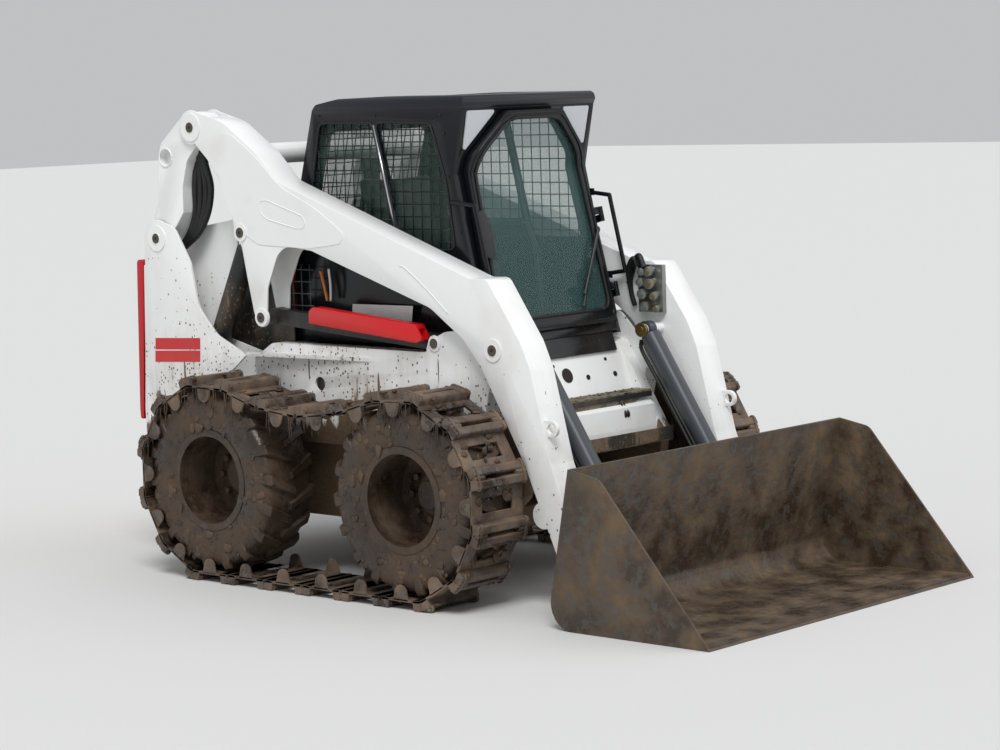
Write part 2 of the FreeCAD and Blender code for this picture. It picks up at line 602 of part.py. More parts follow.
# Lift arms: two plates with flanges between, open below at the back for the cylinder and the links
arm_rows = [(-343, 1957, 0), (-268, 1892, 60), (-170, 1775, 200), (-126, 1678, 60), (-102, 1570, 40),
            (-55, 1486, 40), (-23, 1332, 0), (9, 1192, 20), (30, 1125, 20), (90, 1128, 30), (105, 1300, 60),
            (200, 1500, 110), (400, 1478, 60), (1124, 1243, 150), (1310, 1115, 150), (1410, 1001, 150),
            (1640, 600, 100), (1815, 205, 0), (1890, 135, 0), (1960, 205, 0), (1788, 605, 200),
            (1690, 1000, 150), (1640, 1112, 100), (1459, 1376, 45), (1366, 1374, 60), (195, 1788, 90),
            (60, 1920, 200), (-150, 2060, 250), (-371, 2119, 0)]
back_open = side([(-700, 1500, 0), (-200, 1000, 0), (465, 1000, 0), (465, 1600, 0), (195, 1715, 0),
                  (50, 1830, 100), (-170, 1970, 100), (-330, 2010, 0), (-520, 2200, 0)],
                 arm_in + arm_wall, arm_out - arm_wall)


def arm():
    """The left arm: a welded box, open below at the back, with its bosses and pins."""
    discs = [(link_head, 80.0), (hinge, hub_r), (control_rear, 44.0), (lift_eye, 44.0), (cross_low, 58.0)]
    body = fuse(side(arm_rows, arm_in, arm_out), *[across(pin, r, arm_in, arm_out) for pin, r in discs])
    core = side(inset(arm_rows, arm_wall), arm_in + arm_wall, arm_out - arm_wall)
    for pin, r in ((hinge, hub_r), (tilt_base, 60.0)):
        core = core.cut(across(pin, r, 0, 1000))
    body = body.cut(core).cut(back_open)
    for pin, r in ((link_head, 130.0), (lift_eye, 60.0), (control_rear, 60.0)):
        body = body.cut(across(pin, r, arm_in + arm_wall, arm_out - arm_wall))
    pins = [across(link_head, pin_r, arm_in - 6, arm_out + 8),
            across(control_rear, pin_r, arm_in - 6, arm_out + 8),
            across(lift_eye, pin_r, arm_out - arm_wall - 20, arm_out + 8),
            across(lift_eye, pin_r, arm_in - 6, arm_in + arm_wall + 20),
            across(hinge, pin_r, arm_in - 38, arm_out + 6),
            across(tilt_base, pin_r, tilt_y - 44, arm_out + 8)]
    return fuse(body, *pins)


def tie_lug():
    """A D-shaped lug on the arm's front edge, bored for a tie-down hook."""
    y1 = arm_out - 20
    y0 = y1 - lug_wide
    x, z = front_tie
    lug_r = tie_r + 16
    lug = fuse(across(front_tie, lug_r, y0, y1), box(x - lug_r - 8, x, y0, y1, z - lug_r, z + lug_r))
    lug = lug.cut(side(inset(arm_rows, -seat_play), arm_in, arm_out))
    return lug.cut(across(front_tie, tie_r, y0 - 1, y1 + 1))


arm_left = arm()
save("lift_arm_left", arm_left)
save("lift_arm_right", mirrored(arm_left))
save("tie_down_lugs", *both(tie_lug()))
save("rear_cross_tube", across((-10, 1910), cross_r, -arm_in, arm_in))
save("front_cross_tube", across(cross_low, 45, -arm_in, arm_in))
block = box(1385, 1525, arm_in - 26, arm_in, 1145, 1360)
# quick couplers: (x, z) on the block, radius and reach
coupler_rows = ((1412, 1336, 15, 50), (1462, 1338, 19, 62), (1410, 1290, 17, 58), (1466, 1284, 22, 62),
                (1420, 1236, 21, 58), (1484, 1228, 17, 52), (1436, 1180, 20, 62), (1492, 1170, 14, 44))
couplers = [bar(Vector(x, arm_in - 20, z), Vector(x + 22, arm_in - 20 - reach, z - 8), r)
            for x, z, r, reach in coupler_rows]
save("coupler_block", fuse(block, *couplers))

# Rear links
link_rows = [(-714, 1519, 0), (-642, 1447, 0), (-570, 1519, 0), (-468, 1640, 0), (-466, 1760, 60),
             (-430, 1880, 60), (-330, 1985, 0), (-371, 2111, 0), (-440, 2100, 30), (-609, 1965, 60),
             (-633, 1886, 60), (-637, 1700, 0)]
link_in, link_out = arm_in + arm_wall + side_gap + 2, arm_out - post_wall - side_gap
rear_link = fuse(side(link_rows, link_in, link_out), across(link_foot, link_r, link_in, link_out),
                 across(link_head, link_r, link_in, link_out))
# bores and a recess in the outer face: centre, radius and where the cut starts
for centre, r, y0 in ((link_head, pin_r + pin_play, 0), (link_foot, pin_r + 1, 0),
                      ((-575, 1900), 45, link_out - 40)):
    rear_link = rear_link.cut(across(centre, r, y0, 1000))
save("rear_link_left", rear_link)
save("rear_link_right", mirrored(rear_link))


def cylinder(base, eye, y, barrel_r, rod_r, tail, back):
    """A hydraulic cylinder from base pin to rod eye, both (x, z): barrel and rod with their eyes."""
    reach = math.hypot(eye[0] - base[0], eye[1] - base[1])
    way = Vector((eye[0] - base[0]) / reach, 0, (eye[1] - base[1]) / reach)
    start, end = Vector(base[0], y, base[1]), Vector(eye[0], y, eye[1])
    top = reach - tail
    eye_r = barrel_r * 0.84
    barrel = bar(start + way * (eye_r * 0.8), start + way * top, barrel_r)
    barrel = barrel.cut(bar(start + way * (eye_r + 45), start + way * (top + 1), barrel_r - barrel_wall))
    gland = bar(start + way * (top - 60), start + way * (top - 0.5), barrel_r - barrel_wall + 1)
    gland = gland.cut(bar(start + way * (top - 61), start + way * (top + 1), rod_r + pin_play))
    barrel = fuse(barrel, gland, across(base, eye_r, y - eye_width / 2, y + eye_width / 2))
    barrel = barrel.cut(across(base, pin_r + pin_play, y - 60, y + 60))
    inner_end = eye_r + 60 + back
    piston = bar(start + way * inner_end, start + way * (inner_end + 50), barrel_r - barrel_wall - pin_play)
    rod = fuse(bar(start + way * inner_end, end - way * eye_r * 0.6, rod_r), piston,
               across(eye, eye_r, y - eye_width / 2, y + eye_width / 2))
    return barrel, rod.cut(across(eye, pin_r + 1, y - 60, y + 60))


barrel, rod = cylinder(lift_base, lift_eye, lift_y, lift_barrel_r, lift_rod_r, 90, 0)
save("lift_barrel_left", barrel)
save("lift_barrel_right", mirrored(barrel))
save("lift_rod_left", rod)
save("lift_rod_right", mirrored(rod))
barrel, rod = cylinder(tilt_base, tilt_eye, tilt_y, tilt_barrel_r, tilt_rod_r, 190, 60)
save("tilt_barrel_left", barrel)
save("tilt_barrel_right", mirrored(barrel))
save("tilt_rod_left", rod)
save("tilt_rod_right", mirrored(rod))

# Attachment frame on the arm ends, and the bucket on it
back_low = (hinge[0] + plate_lean[0], hinge[1] + plate_lean[1])
back_high = (hinge[0] + plate_lean[2], hinge[1] + plate_lean[3])
slab = side([(back_low[0], back_low[1], 0), (back_low[0] + plate_depth, back_low[1], 0),
             (back_high[0] + plate_depth, back_high[1], 0), (back_high[0], back_high[1], 0)],
            -attach_half, attach_half)
eye_gap = (tilt_y - eye_room, tilt_y + eye_room)
for y0, y1, z0, z1 in ((-300, 300, hinge[1] - 30, hinge[1] + 270), (*eye_gap, hinge[1] + 40, back_high[1] + 9),
                       (-eye_gap[1], -eye_gap[0], hinge[1] + 40, back_high[1] + 9)):
    slab = slab.cut(box(1800, 2300, y0, y1, z0, z1))
ears = []
for y0 in (tilt_y - eye_width / 2 - 24, tilt_y + eye_width / 2 + 8):
    ears.append(side([(tilt_eye[0] - 36, tilt_eye[1] - 34, 30), (back_low[0] + 60, hinge[1] + 10, 0),
                      (back_high[0] + 20, back_high[1] - 20, 0), (tilt_eye[0] - 20, tilt_eye[1] + 45, 30)],
                     y0, y0 + 16))
ears.append(fuse(side([(hinge[0], hinge[1] - 50, 0), (back_low[0] + 20, back_low[1] + 5, 0),
                       (back_low[0] + 50, hinge[1] + 110, 0), (hinge[0], hinge[1] + 50, 0)],
                      arm_in - 30, arm_in - 10), across(hinge, 50, arm_in - 30, arm_in - 10))
            .cut(across(hinge, pin_r + pin_play, arm_in - 40, arm_in)))
stub = [across(tilt_eye, pin_r - 3, tilt_y - eye_width / 2 - 32, tilt_y - eye_width / 2 - 3),
        across(tilt_eye, pin_r - 3, tilt_y + eye_width / 2 + 3, tilt_y + eye_width / 2 + 32)]
holders = ears + stub
quick = fuse(slab, *(holders + [mirrored(s) for s in holders]))
save("quick_attach", quick)

ground = -datum_drop
lean = (back_high[0] - back_low[0]) / (back_high[1] - back_low[1])
back_x = back_low[0] + plate_depth + seat_play
heel = back_x + lean * (ground - back_low[1])
lip = (back_x + lean * (650 - back_low[1]), 650)
bucket_rows = [(heel, ground, 110), (bucket_tip, ground, 0), (bucket_tip - 12, ground + 16, 0),
               (lip[0] + 160, lip[1] - 30, 60), (lip[0], lip[1], 0)]
shell = side(bucket_rows, -bucket_half, bucket_half)
room_rows = [(heel + 14, ground + bucket_wall, 100), (bucket_tip - 150, ground + bucket_wall, 0),
             (bucket_tip + 300, ground + bucket_wall, 0), (bucket_tip + 300, 900, 0), (lip[0] + 60, 900, 0),
             (lip[0] + 12, lip[1] + 1, 0)]
shell = shell.cut(side(room_rows, -bucket_half + bucket_wall, bucket_half - bucket_wall))
edge = box(bucket_tip - 190, bucket_tip - 16, -bucket_half, bucket_half, ground, ground + 18)
holes = [Part.makeCylinder(10, 60, Vector(bucket_tip - 110, sign * y, ground - 10))
         for y in (150, 450, 750) for sign in (1, -1)]
save("bucket", fuse(shell, edge).cut(holes[0].multiFuse(holes[1:])))
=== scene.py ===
import json
import math

import bmesh
import bpy
import numpy as np
from mathutils import Matrix, Vector

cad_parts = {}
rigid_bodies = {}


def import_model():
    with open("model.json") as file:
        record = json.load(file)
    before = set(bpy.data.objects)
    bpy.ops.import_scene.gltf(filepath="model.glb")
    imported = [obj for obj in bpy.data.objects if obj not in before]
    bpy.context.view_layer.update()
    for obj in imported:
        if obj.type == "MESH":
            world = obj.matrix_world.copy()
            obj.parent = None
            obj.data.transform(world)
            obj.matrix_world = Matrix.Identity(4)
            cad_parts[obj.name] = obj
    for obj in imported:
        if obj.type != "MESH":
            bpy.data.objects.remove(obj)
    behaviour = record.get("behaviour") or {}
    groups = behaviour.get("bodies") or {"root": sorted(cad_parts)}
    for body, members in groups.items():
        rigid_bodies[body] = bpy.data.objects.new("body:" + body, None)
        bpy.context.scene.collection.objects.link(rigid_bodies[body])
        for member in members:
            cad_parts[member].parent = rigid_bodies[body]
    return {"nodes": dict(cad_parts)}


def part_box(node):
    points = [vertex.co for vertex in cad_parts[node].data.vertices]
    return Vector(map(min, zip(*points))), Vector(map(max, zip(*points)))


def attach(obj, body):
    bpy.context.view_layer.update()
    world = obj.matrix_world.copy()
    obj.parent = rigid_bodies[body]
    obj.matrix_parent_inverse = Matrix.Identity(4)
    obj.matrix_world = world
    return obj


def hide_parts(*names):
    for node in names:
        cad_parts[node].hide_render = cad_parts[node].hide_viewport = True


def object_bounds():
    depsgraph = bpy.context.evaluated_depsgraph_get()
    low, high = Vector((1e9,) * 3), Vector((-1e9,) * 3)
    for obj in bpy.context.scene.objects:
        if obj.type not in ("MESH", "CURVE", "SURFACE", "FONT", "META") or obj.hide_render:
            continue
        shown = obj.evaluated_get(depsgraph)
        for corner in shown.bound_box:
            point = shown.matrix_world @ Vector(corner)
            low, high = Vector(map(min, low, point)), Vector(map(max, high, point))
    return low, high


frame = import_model()
cad_low, cad_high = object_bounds()

# %% [markdown]
# # A muddy skid steer loader with tracks over its tyres
# The solids of this machine come from a CAD model whose every node sits at the origin, with its place in
# its mesh. Blender adds what CAD leaves out: paint, mud, glass, wire mesh, tread, bolts and the padded
# seat. Nothing here moves or resizes a CAD part. A new piece rides on the CAD body that carries it, so
# that it follows the arms, the door or the bucket when a joint moves.

# %% Names for the frame
nodes = frame["nodes"]
print("box", [round(v, 3) for v in cad_low], [round(v, 3) for v in cad_high])

# %% [markdown]
# ## Sizes shared with the CAD model
# The CAD script counts in millimetres, x from the rear axle and z from about 15 mm above the ground. One
# function turns such points into the frame's metres, so that the same landmarks serve both scripts. The
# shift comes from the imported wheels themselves, not from a copied number.

# %% From CAD landmarks to the frame
SIDES = {"left": 1, "right": -1}  # the sign of y on each side of the machine
WHEEL_BASE, AXLE_Z, TYRE_R, TYRE_Y = 1209.0, 450.0, 419.0, 815.0
rear_low, rear_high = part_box("tyre_rear_left")
SHIFT = np.array([(rear_low.x + rear_high.x) / 2, 0.0, (rear_low.z + rear_high.z) / 2 - AXLE_Z / 1000])


def at(points):
    """CAD landmarks (x, y, z) in millimetres, one or many, as points of the frame in metres."""
    return np.asarray(points, float) / 1000 + SHIFT


print("rear axle in the frame", at((0, 0, AXLE_Z)).round(4))


# %% [markdown]
# ## Colours and shader nodes
# A colour is read off as an sRGB hex value, which is how screens store it, and light adds up in linear
# values, so one function converts between them. A second function adds a shader node with its settings
# and its links in one line, which keeps each material readable from top to bottom. Five short ones on top
# of it stand for the kinds of node that come often: sums, ranges, noise, mixed colours and relief.

# %% Colour and node helpers
def linear(hex_colour, alpha=1.0):
    """sRGB hex to linear RGBA: v / 12.92 below 0.04045, else ((v + 0.055) / 1.055) ** 2.4."""
    v = np.array([int(hex_colour[i:i + 2], 16) / 255 for i in (1, 3, 5)])
    v = np.where(v <= 0.04045, v / 12.92, ((v + 0.055) / 1.055) ** 2.4)
    return (*v.tolist(), alpha)


def add(tree, kind, inputs=None, out=0, **settings):
    """Adds a shader node and gives back one output. Inputs map a socket to a value or to another output."""
    made = tree.nodes.new(kind)
    for name, value in settings.items():
        setattr(made, name, value)
    for key, value in (inputs or {}).items():
        if isinstance(value, bpy.types.NodeSocket):
            tree.links.new(value, made.inputs[key])
        else:
            made.inputs[key].default_value = value
    return made.outputs[out]


def calc(tree, operation, *values):
    """A Math node on up to three values or outputs."""
    return add(tree, "ShaderNodeMath", dict(enumerate(values)), operation=operation)


def spread(tree, value, low, high, to_low=0.0, to_high=1.0):
    """A clamped range: low becomes to_low, high becomes to_high, with a straight line between."""
    return add(tree, "ShaderNodeMapRange", {"Value": value, "From Min": low, "From Max": high,
                                            "To Min": to_low, "To Max": to_high})


def noise(tree, point, scale, detail, out=0, **inputs):
    """A noise texture at a point: its value, or its colour."""
    return add(tree, "ShaderNodeTexNoise", {"Vector": point, "Scale": scale, "Detail": detail, **inputs}, out)


def blend(tree, factor, first, second):
    """A mix of two colours."""
    return add(tree, "ShaderNodeMix", {0: factor, 6: first, 7: second}, 2, data_type="RGBA")


def relief(tree, height, strength, distance):
    """A Bump node; the distance is in metres."""
    return add(tree, "ShaderNodeBump", {"Height": height, "Strength": strength, "Distance": distance})


def start(name, **values):
    """A new material: itself, its node tree, its Principled shader and the shaded point, in metres."""
    made = bpy.data.materials.new(name)
    made.use_nodes = True
    shader = made.node_tree.nodes["Principled BSDF"]
    for key, value in values.items():
        shader.inputs[key.replace("_", " ")].default_value = value
    return made, made.node_tree, shader, add(made.node_tree, "ShaderNodeTexCoord", out="Object")


def finish(tree, shader, **sockets):
    """Links outputs to the Principled shader's sockets, named with _ for a blank."""
    for key, value in sockets.items():
        tree.links.new(value, shader.inputs[key.replace("_", " ")])


# %% [markdown]
# ## Mud that was thrown and that ran
# The machine has just driven through wet clay. Its wheels throw drops, which land as round spots, thick
# near the ground and rare near the roof. Larger ones run down in streaks, and fine dirt leaves a thin
# brown film low down. It could be painted by hand on a texture, but a pattern that reads the point's
# height does the same on every part and needs no image. A cell pattern gives each drop its own random
# size, so that only a share of the cells holds one; the height decides that share.

# %% Drops, streaks and film
WET_MUD, DRY_MUD, DRY_FILM = "#46352A", "#8A745B", "#9A8466"
LARGEST_DROP, DROP_EDGE = 0.36, 0.06


def drops(tree, point, per_metre, stretch, share):
    """Cells with a drop in a share of them: radius = min(1.4 * (random + share - 1), largest) of a cell."""
    scale = (per_metre, per_metre, per_metre / stretch)
    moved = add(tree, "ShaderNodeMapping", {"Vector": point, "Scale": scale})
    rough = noise(tree, moved, 2.1, 3.0, "Color")
    moved = add(tree, "ShaderNodeMix", {0: 0.34, 4: moved, 5: rough}, 1, data_type="VECTOR")
    cells = add(tree, "ShaderNodeTexVoronoi", {"Vector": moved, "Scale": 1.0}, "Distance")
    random = add(tree, "ShaderNodeSeparateColor", {0: cells.node.outputs["Color"]})
    size = calc(tree, "MULTIPLY_ADD", calc(tree, "ADD", random, share), 1.4, -1.4)
    cover = calc(tree, "SUBTRACT", calc(tree, "MINIMUM", size, LARGEST_DROP), cells)
    return spread(tree, cover, 0.0, DROP_EDGE)


def mud_mask(tree, point, low, high, amount):
    """Mud cover from 0 to 1 and its film: thick below height low, only stray drops at height high."""
    most = min(1.0, amount)
    height = add(tree, "ShaderNodeSeparateXYZ", {0: point}, "Z")
    fall = spread(tree, height, high, low)
    patch = spread(tree, noise(tree, point, 3.1, 3.0), 0.35, 0.65, 0.45, 1.2)
    level = calc(tree, "POWER", calc(tree, "MULTIPLY", fall, patch), 1.5)
    share = calc(tree, "MULTIPLY_ADD", level, 0.95 * amount, 0.06 * amount)
    cover = drops(tree, point, 105.0, 1.2, share)
    for per_metre, stretch, part in ((40.0, 1.3, 0.30), (62.0, 14.0, 0.55)):
        more = drops(tree, point, per_metre, stretch, calc(tree, "MULTIPLY", share, part))
        cover = calc(tree, "MAXIMUM", cover, more)
    wash = add(tree, "ShaderNodeMapping", {"Vector": point, "Scale": (26.0, 26.0, 4.0)})
    wash = noise(tree, wash, 1.0, 5.0)
    crust = calc(tree, "MULTIPLY_ADD", level, 0.62 * amount, wash)
    foot = spread(tree, height, low + 0.28, low - 0.05, 0.0, 0.8 * most)
    crust = spread(tree, calc(tree, "ADD", crust, foot), 1.02, 1.12)
    film = spread(tree, calc(tree, "MULTIPLY", level, wash), 0.10, 0.75, 0.0, 0.75 * most)
    return calc(tree, "MAXIMUM", cover, crust), film


def muddied(tree, shader, point, clean_colour, clean_roughness, low, high, amount):
    """Lays film and mud over a clean finish: colour, rougher surface and a small thickness."""
    mask, film = mud_mask(tree, point, low, high, amount)
    grain = noise(tree, point, 90.0, 4.0)
    tone = blend(tree, grain, linear(WET_MUD), linear(DRY_MUD))
    dull = blend(tree, film, clean_colour, linear(DRY_FILM))
    colour = blend(tree, mask, dull, tone)
    rough = add(tree, "ShaderNodeMix", {0: mask, 2: clean_roughness, 3: 0.55})
    height = calc(tree, "MULTIPLY", calc(tree, "MULTIPLY_ADD", grain, 0.3, 1.0), mask)
    finish(tree, shader, Base_Color=colour, Roughness=rough, Normal=relief(tree, height, 0.6, 0.0025))


# %% [markdown]
# ## Paint
# Most of this machine is sheet steel with sprayed enamel or powder coat: a dielectric skin over metal, so
# it isn't metallic in the shader. Only bare metal, such as a chromed rod, gets metallic 1. The white
# enamel has a thin clear top layer, which is what gives the arms their soft highlight.

# %% White enamel of the body and arms
def white_enamel(name, low, high, amount):
    """Sprayed white enamel on sheet steel: glossy where clean, with faint dust in slow patches."""
    made, tree, shader, point = start(name, IOR=1.5, Coat_Weight=0.2, Coat_Roughness=0.1)
    dust = spread(tree, noise(tree, point, 4.0, 6.0), 0.52, 0.9, 0.0, 0.45)
    paint = blend(tree, dust, linear("#F0F1F0"), linear("#CFC8BA"))
    muddied(tree, shader, point, paint, 0.30, low, high, amount)
    return made


body_white = white_enamel("white_enamel_body", 0.55, 1.75, 1.0)
arm_white = white_enamel("white_enamel_arms", 0.0, 1.75, 0.60)
link_white = white_enamel("white_enamel_links", 0.9, 1.8, 0.35)
panel_white = white_enamel("white_enamel_front_panel", 0.45, 1.15, 0.30)


# %% Powder coat of the cab, and other coated steel
def coated(name, hex_colour, roughness, low, high, amount, ior=1.5):
    """Powder coat baked on steel: satin, with the drops and film of mud that its height earns."""
    made, tree, shader, point = start(name, IOR=ior)
    muddied(tree, shader, point, linear(hex_colour), roughness, low, high, amount)
    return made


cab_black = coated("black_powder_coat_cab", "#12151A", 0.18, 0.9, 1.6, 0.12, 1.38)
# The roof is black, but lighter and bluer than the cab's black: a painted sheen of the sky on the top.
roof_black_and_sheen = coated("black_moulded_roof", "#1A1E25", 0.26, 0.9, 1.6, 0.05, 1.42)
frame_black = coated("black_enamel_frame", "#1A1A1B", 0.45, 0.45, 1.30, 0.9)
cover_black = coated("black_enamel_covers", "#141517", 0.40, 0.75, 1.75, 1.3)
link_black = coated("black_enamel_links", "#232427", 0.42, 0.8, 1.5, 0.5)
cylinder_grey = coated("dark_grey_cylinder_enamel", "#3E4248", 0.33, 0.3, 1.1, 0.22)
stop_red = coated("red_enamel_stop", "#D8151B", 0.26, 0.9, 1.4, 0.15)
gate_red = coated("red_enamel_tailgate", "#B5161B", 0.30, 0.5, 1.4, 0.5)
stripe_red = coated("red_vinyl_stripe", "#C8232B", 0.35, 0.7, 1.3, 0.5)
label_white = coated("blank_white_plate", "#E4E4E2", 0.35, 0.9, 1.4, 0.15)


# %% [markdown]
# ## Mud-caked steel and rubber
# On the tracks, tyres, rims and bucket the mud isn't spots on paint: it covers everything, wet in the
# hollows and drying on the edges, and steel shows only where it rubs. So the mud is the base here, and a
# large noise lets the steel or rubber through. Wet clay is darker and much glossier than dry clay, and
# one noise drives both colour and roughness, so that the two always go together. The dark colour is
# also clay in shade and the light one clay in light, so that noise paints shade and light on the clay
# at random as well.

# %% Caked finishes
def caked(name, bare_hex, bare_roughness, bare_share, wet_shaded_hex, dry_lit_hex):
    """A surface under a skin of clay, with the bare material showing on a share of it."""
    made, tree, shader, point = start(name)
    # Painted shade and light: the wet colour is also clay in shade and the dry one clay in light, and this
    # noise mixes them at random along with real wet and dry clay.
    wet = noise(tree, point, 5.5, 7.0, Roughness=0.6)
    clay = blend(tree, spread(tree, wet, 0.40, 0.62), linear(wet_shaded_hex), linear(dry_lit_hex))
    lumpy = noise(tree, point, 26.0, 9.0, Roughness=0.62)
    show = spread(tree, lumpy, 0.40 + 0.2 * bare_share, 0.30 + 0.2 * bare_share, 0.0, 0.8)
    colour = blend(tree, show, clay, linear(bare_hex))
    wetness = spread(tree, wet, 0.38, 0.62, 0.24, 0.85)
    rough = add(tree, "ShaderNodeMix", {0: show, 2: wetness, 3: bare_roughness})
    height = calc(tree, "MULTIPLY_ADD", lumpy, 0.6, wet)
    finish(tree, shader, Base_Color=colour, Roughness=rough, Normal=relief(tree, height, 0.6, 0.012))
    return made


track_steel = caked("muddy_track_steel", "#5E5750", 0.40, 0.50, "#382A20", "#7A6654")
tyre_rubber = caked("muddy_tyre_rubber", "#231F1C", 0.70, 0.30, "#33261C", "#514031")
rim_steel = caked("muddy_rim_steel", "#4A4036", 0.45, 0.30, "#30231A", "#4E3E30")
clod_clay = caked("wet_clay_clods", "#4A3829", 0.35, 0.20, "#33271D", "#5F4C3A")
bucket_steel = caked("worn_bucket_steel", "#4C4741", 0.40, 0.50, "#3A2D22", "#66543F")
step_steel = caked("muddy_step_steel", "#8C8775", 0.50, 0.80, "#35271B", "#8A7A5C")

# %% [markdown]
# ## Glass, lenses and bare metal
# The cab's panes are green safety glass. Real glass bends light at two faces, but a pane only 6 mm thick
# shifts the view by less than its own scratches, so the pane is drawn as a thin coloured veil: partly
# transparent, smooth, and free of the grain that refraction leaves.

# %% Glass and plain surfaces
def veil(name, hex_colour, alpha, roughness):
    """Tinted float glass as a veil: alpha is the share of light that its tint and shine replace."""
    return start(name, IOR=1.52, Alpha=alpha, Roughness=roughness, Base_Color=linear(hex_colour))[0]


def plain(name, hex_colour, roughness, metallic=0.0):
    """A bare or moulded surface with one colour and a faint unevenness in its gloss."""
    made, tree, shader, point = start(name, Metallic=metallic, Base_Color=linear(hex_colour))
    patch = noise(tree, point, 22.0, 4.0)
    finish(tree, shader, Roughness=spread(tree, patch, 0.0, 1.0, roughness * 0.75, roughness * 1.25))
    return made


side_pane = veil("green_safety_glass", "#3E5A50", 0.24, 0.04)
door_pane = veil("green_door_glass", "#5C807E", 0.19, 0.03)
lamp_lens = plain("ribbed_lamp_lens", "#C9CDD1", 0.22)
chrome = plain("hard_chrome_rod", "#C6C8CB", 0.10, 1.0)
zinc = plain("silver_zinc_plate", "#8F918C", 0.36, 0.85)
brass = plain("yellow_zinc_plate", "#97834F", 0.34, 0.9)
bright_bar = plain("anodised_aluminium_bar", "#C2C5C8", 0.25, 0.9)
pin_steel = plain("oiled_pin_steel", "#5E584F", 0.38, 0.8)
dark_bolt = plain("black_oxide_bolt", "#2A2724", 0.45, 0.5)
rubber = plain("black_rubber_seal", "#161617", 0.6)
hose_black = plain("black_hose_rubber", "#131314", 0.5)
plastic = plain("black_moulded_plastic", "#1A1B1D", 0.45)
wire_black = plain("black_coated_wire", "#101113", 0.4)
bay_wire = plain("galvanised_wire", "#5A5D60", 0.4, 0.5)
lens_red = plain("red_acrylic_lens", "#A5161A", 0.15)
cable_orange = plain("orange_cable_sleeve", "#C8742B", 0.5)
cable_white = plain("white_cable_sleeve", "#D9D9D4", 0.5)


# %% [markdown]
# ## Seat vinyl
# The seat's cover is embossed PVC on cloth. Its leather grain is about 1.5 mm wide, which is finer than a
# pixel and would only sparkle, so it is drawn four times as coarse. A bump can carry it, because no edge of
# the seat shows it in outline.

# %% Vinyl
GRAIN_MM = 6.0
seat_vinyl, tree, shader, point = start("embossed_seat_vinyl", Roughness=0.48, Base_Color=linear("#26272A"))
cells = add(tree, "ShaderNodeTexVoronoi", {"Vector": point, "Scale": 1000 / GRAIN_MM}, "Distance")
finish(tree, shader, Normal=relief(tree, cells, 0.2, 0.0008))


# %% Which node wears which finish
def pair(*stems):
    """The left and right node of each stem."""
    return [stem + end for stem in stems for end in ("_left", "_right")]


FINISHES = {
    track_steel: pair("track"),
    tyre_rubber: pair("tyre_front", "tyre_rear"),
    rim_steel: pair("rim_front", "rim_rear") + ["axles"],
    body_white: pair("upright") + ["chain_cases"],
    panel_white: ["front_panel"],
    arm_white: pair("lift_arm") + ["rear_cross_tube", "front_cross_tube", "tie_down_lugs"],
    link_white: pair("rear_link"),
    link_black: pair("control_link") + ["quick_attach"],
    cover_black: ["engine_covers", "hood", "engine_block"] + pair("lift_barrel"),
    frame_black: ["main_frame"],
    cab_black: ["cab_shell", "door_frame", "grab_handles", "seat_base"],
    roof_black_and_sheen: ["cab_roof"],
    cylinder_grey: pair("tilt_barrel"),
    chrome: pair("lift_rod", "tilt_rod"),
    step_steel: ["steps"],
    bucket_steel: ["bucket"],
    stop_red: ["lift_stop"],
    gate_red: ["tailgate"],
    side_pane: ["side_glass", "rear_glass", "skylight"],
    door_pane: ["door_glass"],
    lamp_lens: ["work_lamps"],
    lens_red: ["tail_lamps"],
    seat_vinyl: ["seat_cushion", "seat_back"],
    plastic: ["steering_levers", "door_latch", "wiper"],
    zinc: ["coupler_block"],
}


def wear(obj, material):
    """Gives an object one material and nothing else."""
    obj.data.materials.clear()
    obj.data.materials.append(material)


for material, names in FINISHES.items():
    for name in names:
        wear(nodes[name], material)
print("finishes", len(FINISHES), "nodes without one",
      sorted(set(nodes) - {n for names in FINISHES.values() for n in names}))

# %% [markdown]
# ## New meshes
# A mesh is two arrays: points and faces. Shapes that repeat are worked out once, then copied to their
# places with array arithmetic, so nothing loops over vertices. Most small parts of this machine are flat
# plates seen from the side, round bars along a path, or heads of bolts, so three helpers make nearly all.

# %% Mesh helpers
def placed(name, data):
    """A new object of the scene, at the origin."""
    made = bpy.data.objects.new(name, data)
    bpy.context.scene.collection.objects.link(made)
    return made


def outward(data):
    """Merges doubles and turns every face outwards, as a mirrored shape needs."""
    work = bmesh.new()
    work.from_mesh(data)
    bmesh.ops.remove_doubles(work, verts=work.verts, dist=0.00001)
    bmesh.ops.recalc_face_normals(work, faces=work.faces)
    work.to_mesh(data)
    work.free()


def bevelled(obj, width):
    """A bevel of this width in metres on every edge sharper than 35 degrees."""
    bevel = obj.modifiers.new("edge", "BEVEL")
    bevel.width, bevel.segments, bevel.harden_normals = width, 2, True
    bevel.limit_method, bevel.angle_limit = "ANGLE", math.radians(35)


def mesh_object(name, parts, material, body, smooth=False, edge=0.0):
    """One object from (points, faces) pairs, riding on a CAD body, with a bevel of edge metres."""
    starts = np.cumsum([0] + [len(p) for p, _ in parts[:-1]])
    faces = [[i + int(s) for i in face] for (_, part), s in zip(parts, starts) for face in part]
    data = bpy.data.meshes.new(name)
    data.from_pydata(np.concatenate([p for p, _ in parts]).tolist(), [], faces)
    made = placed(name, data)
    outward(data)
    if smooth or edge:
        data.shade_smooth()
    if edge:
        bevelled(made, edge)
    wear(made, material)
    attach(made, body)
    return made


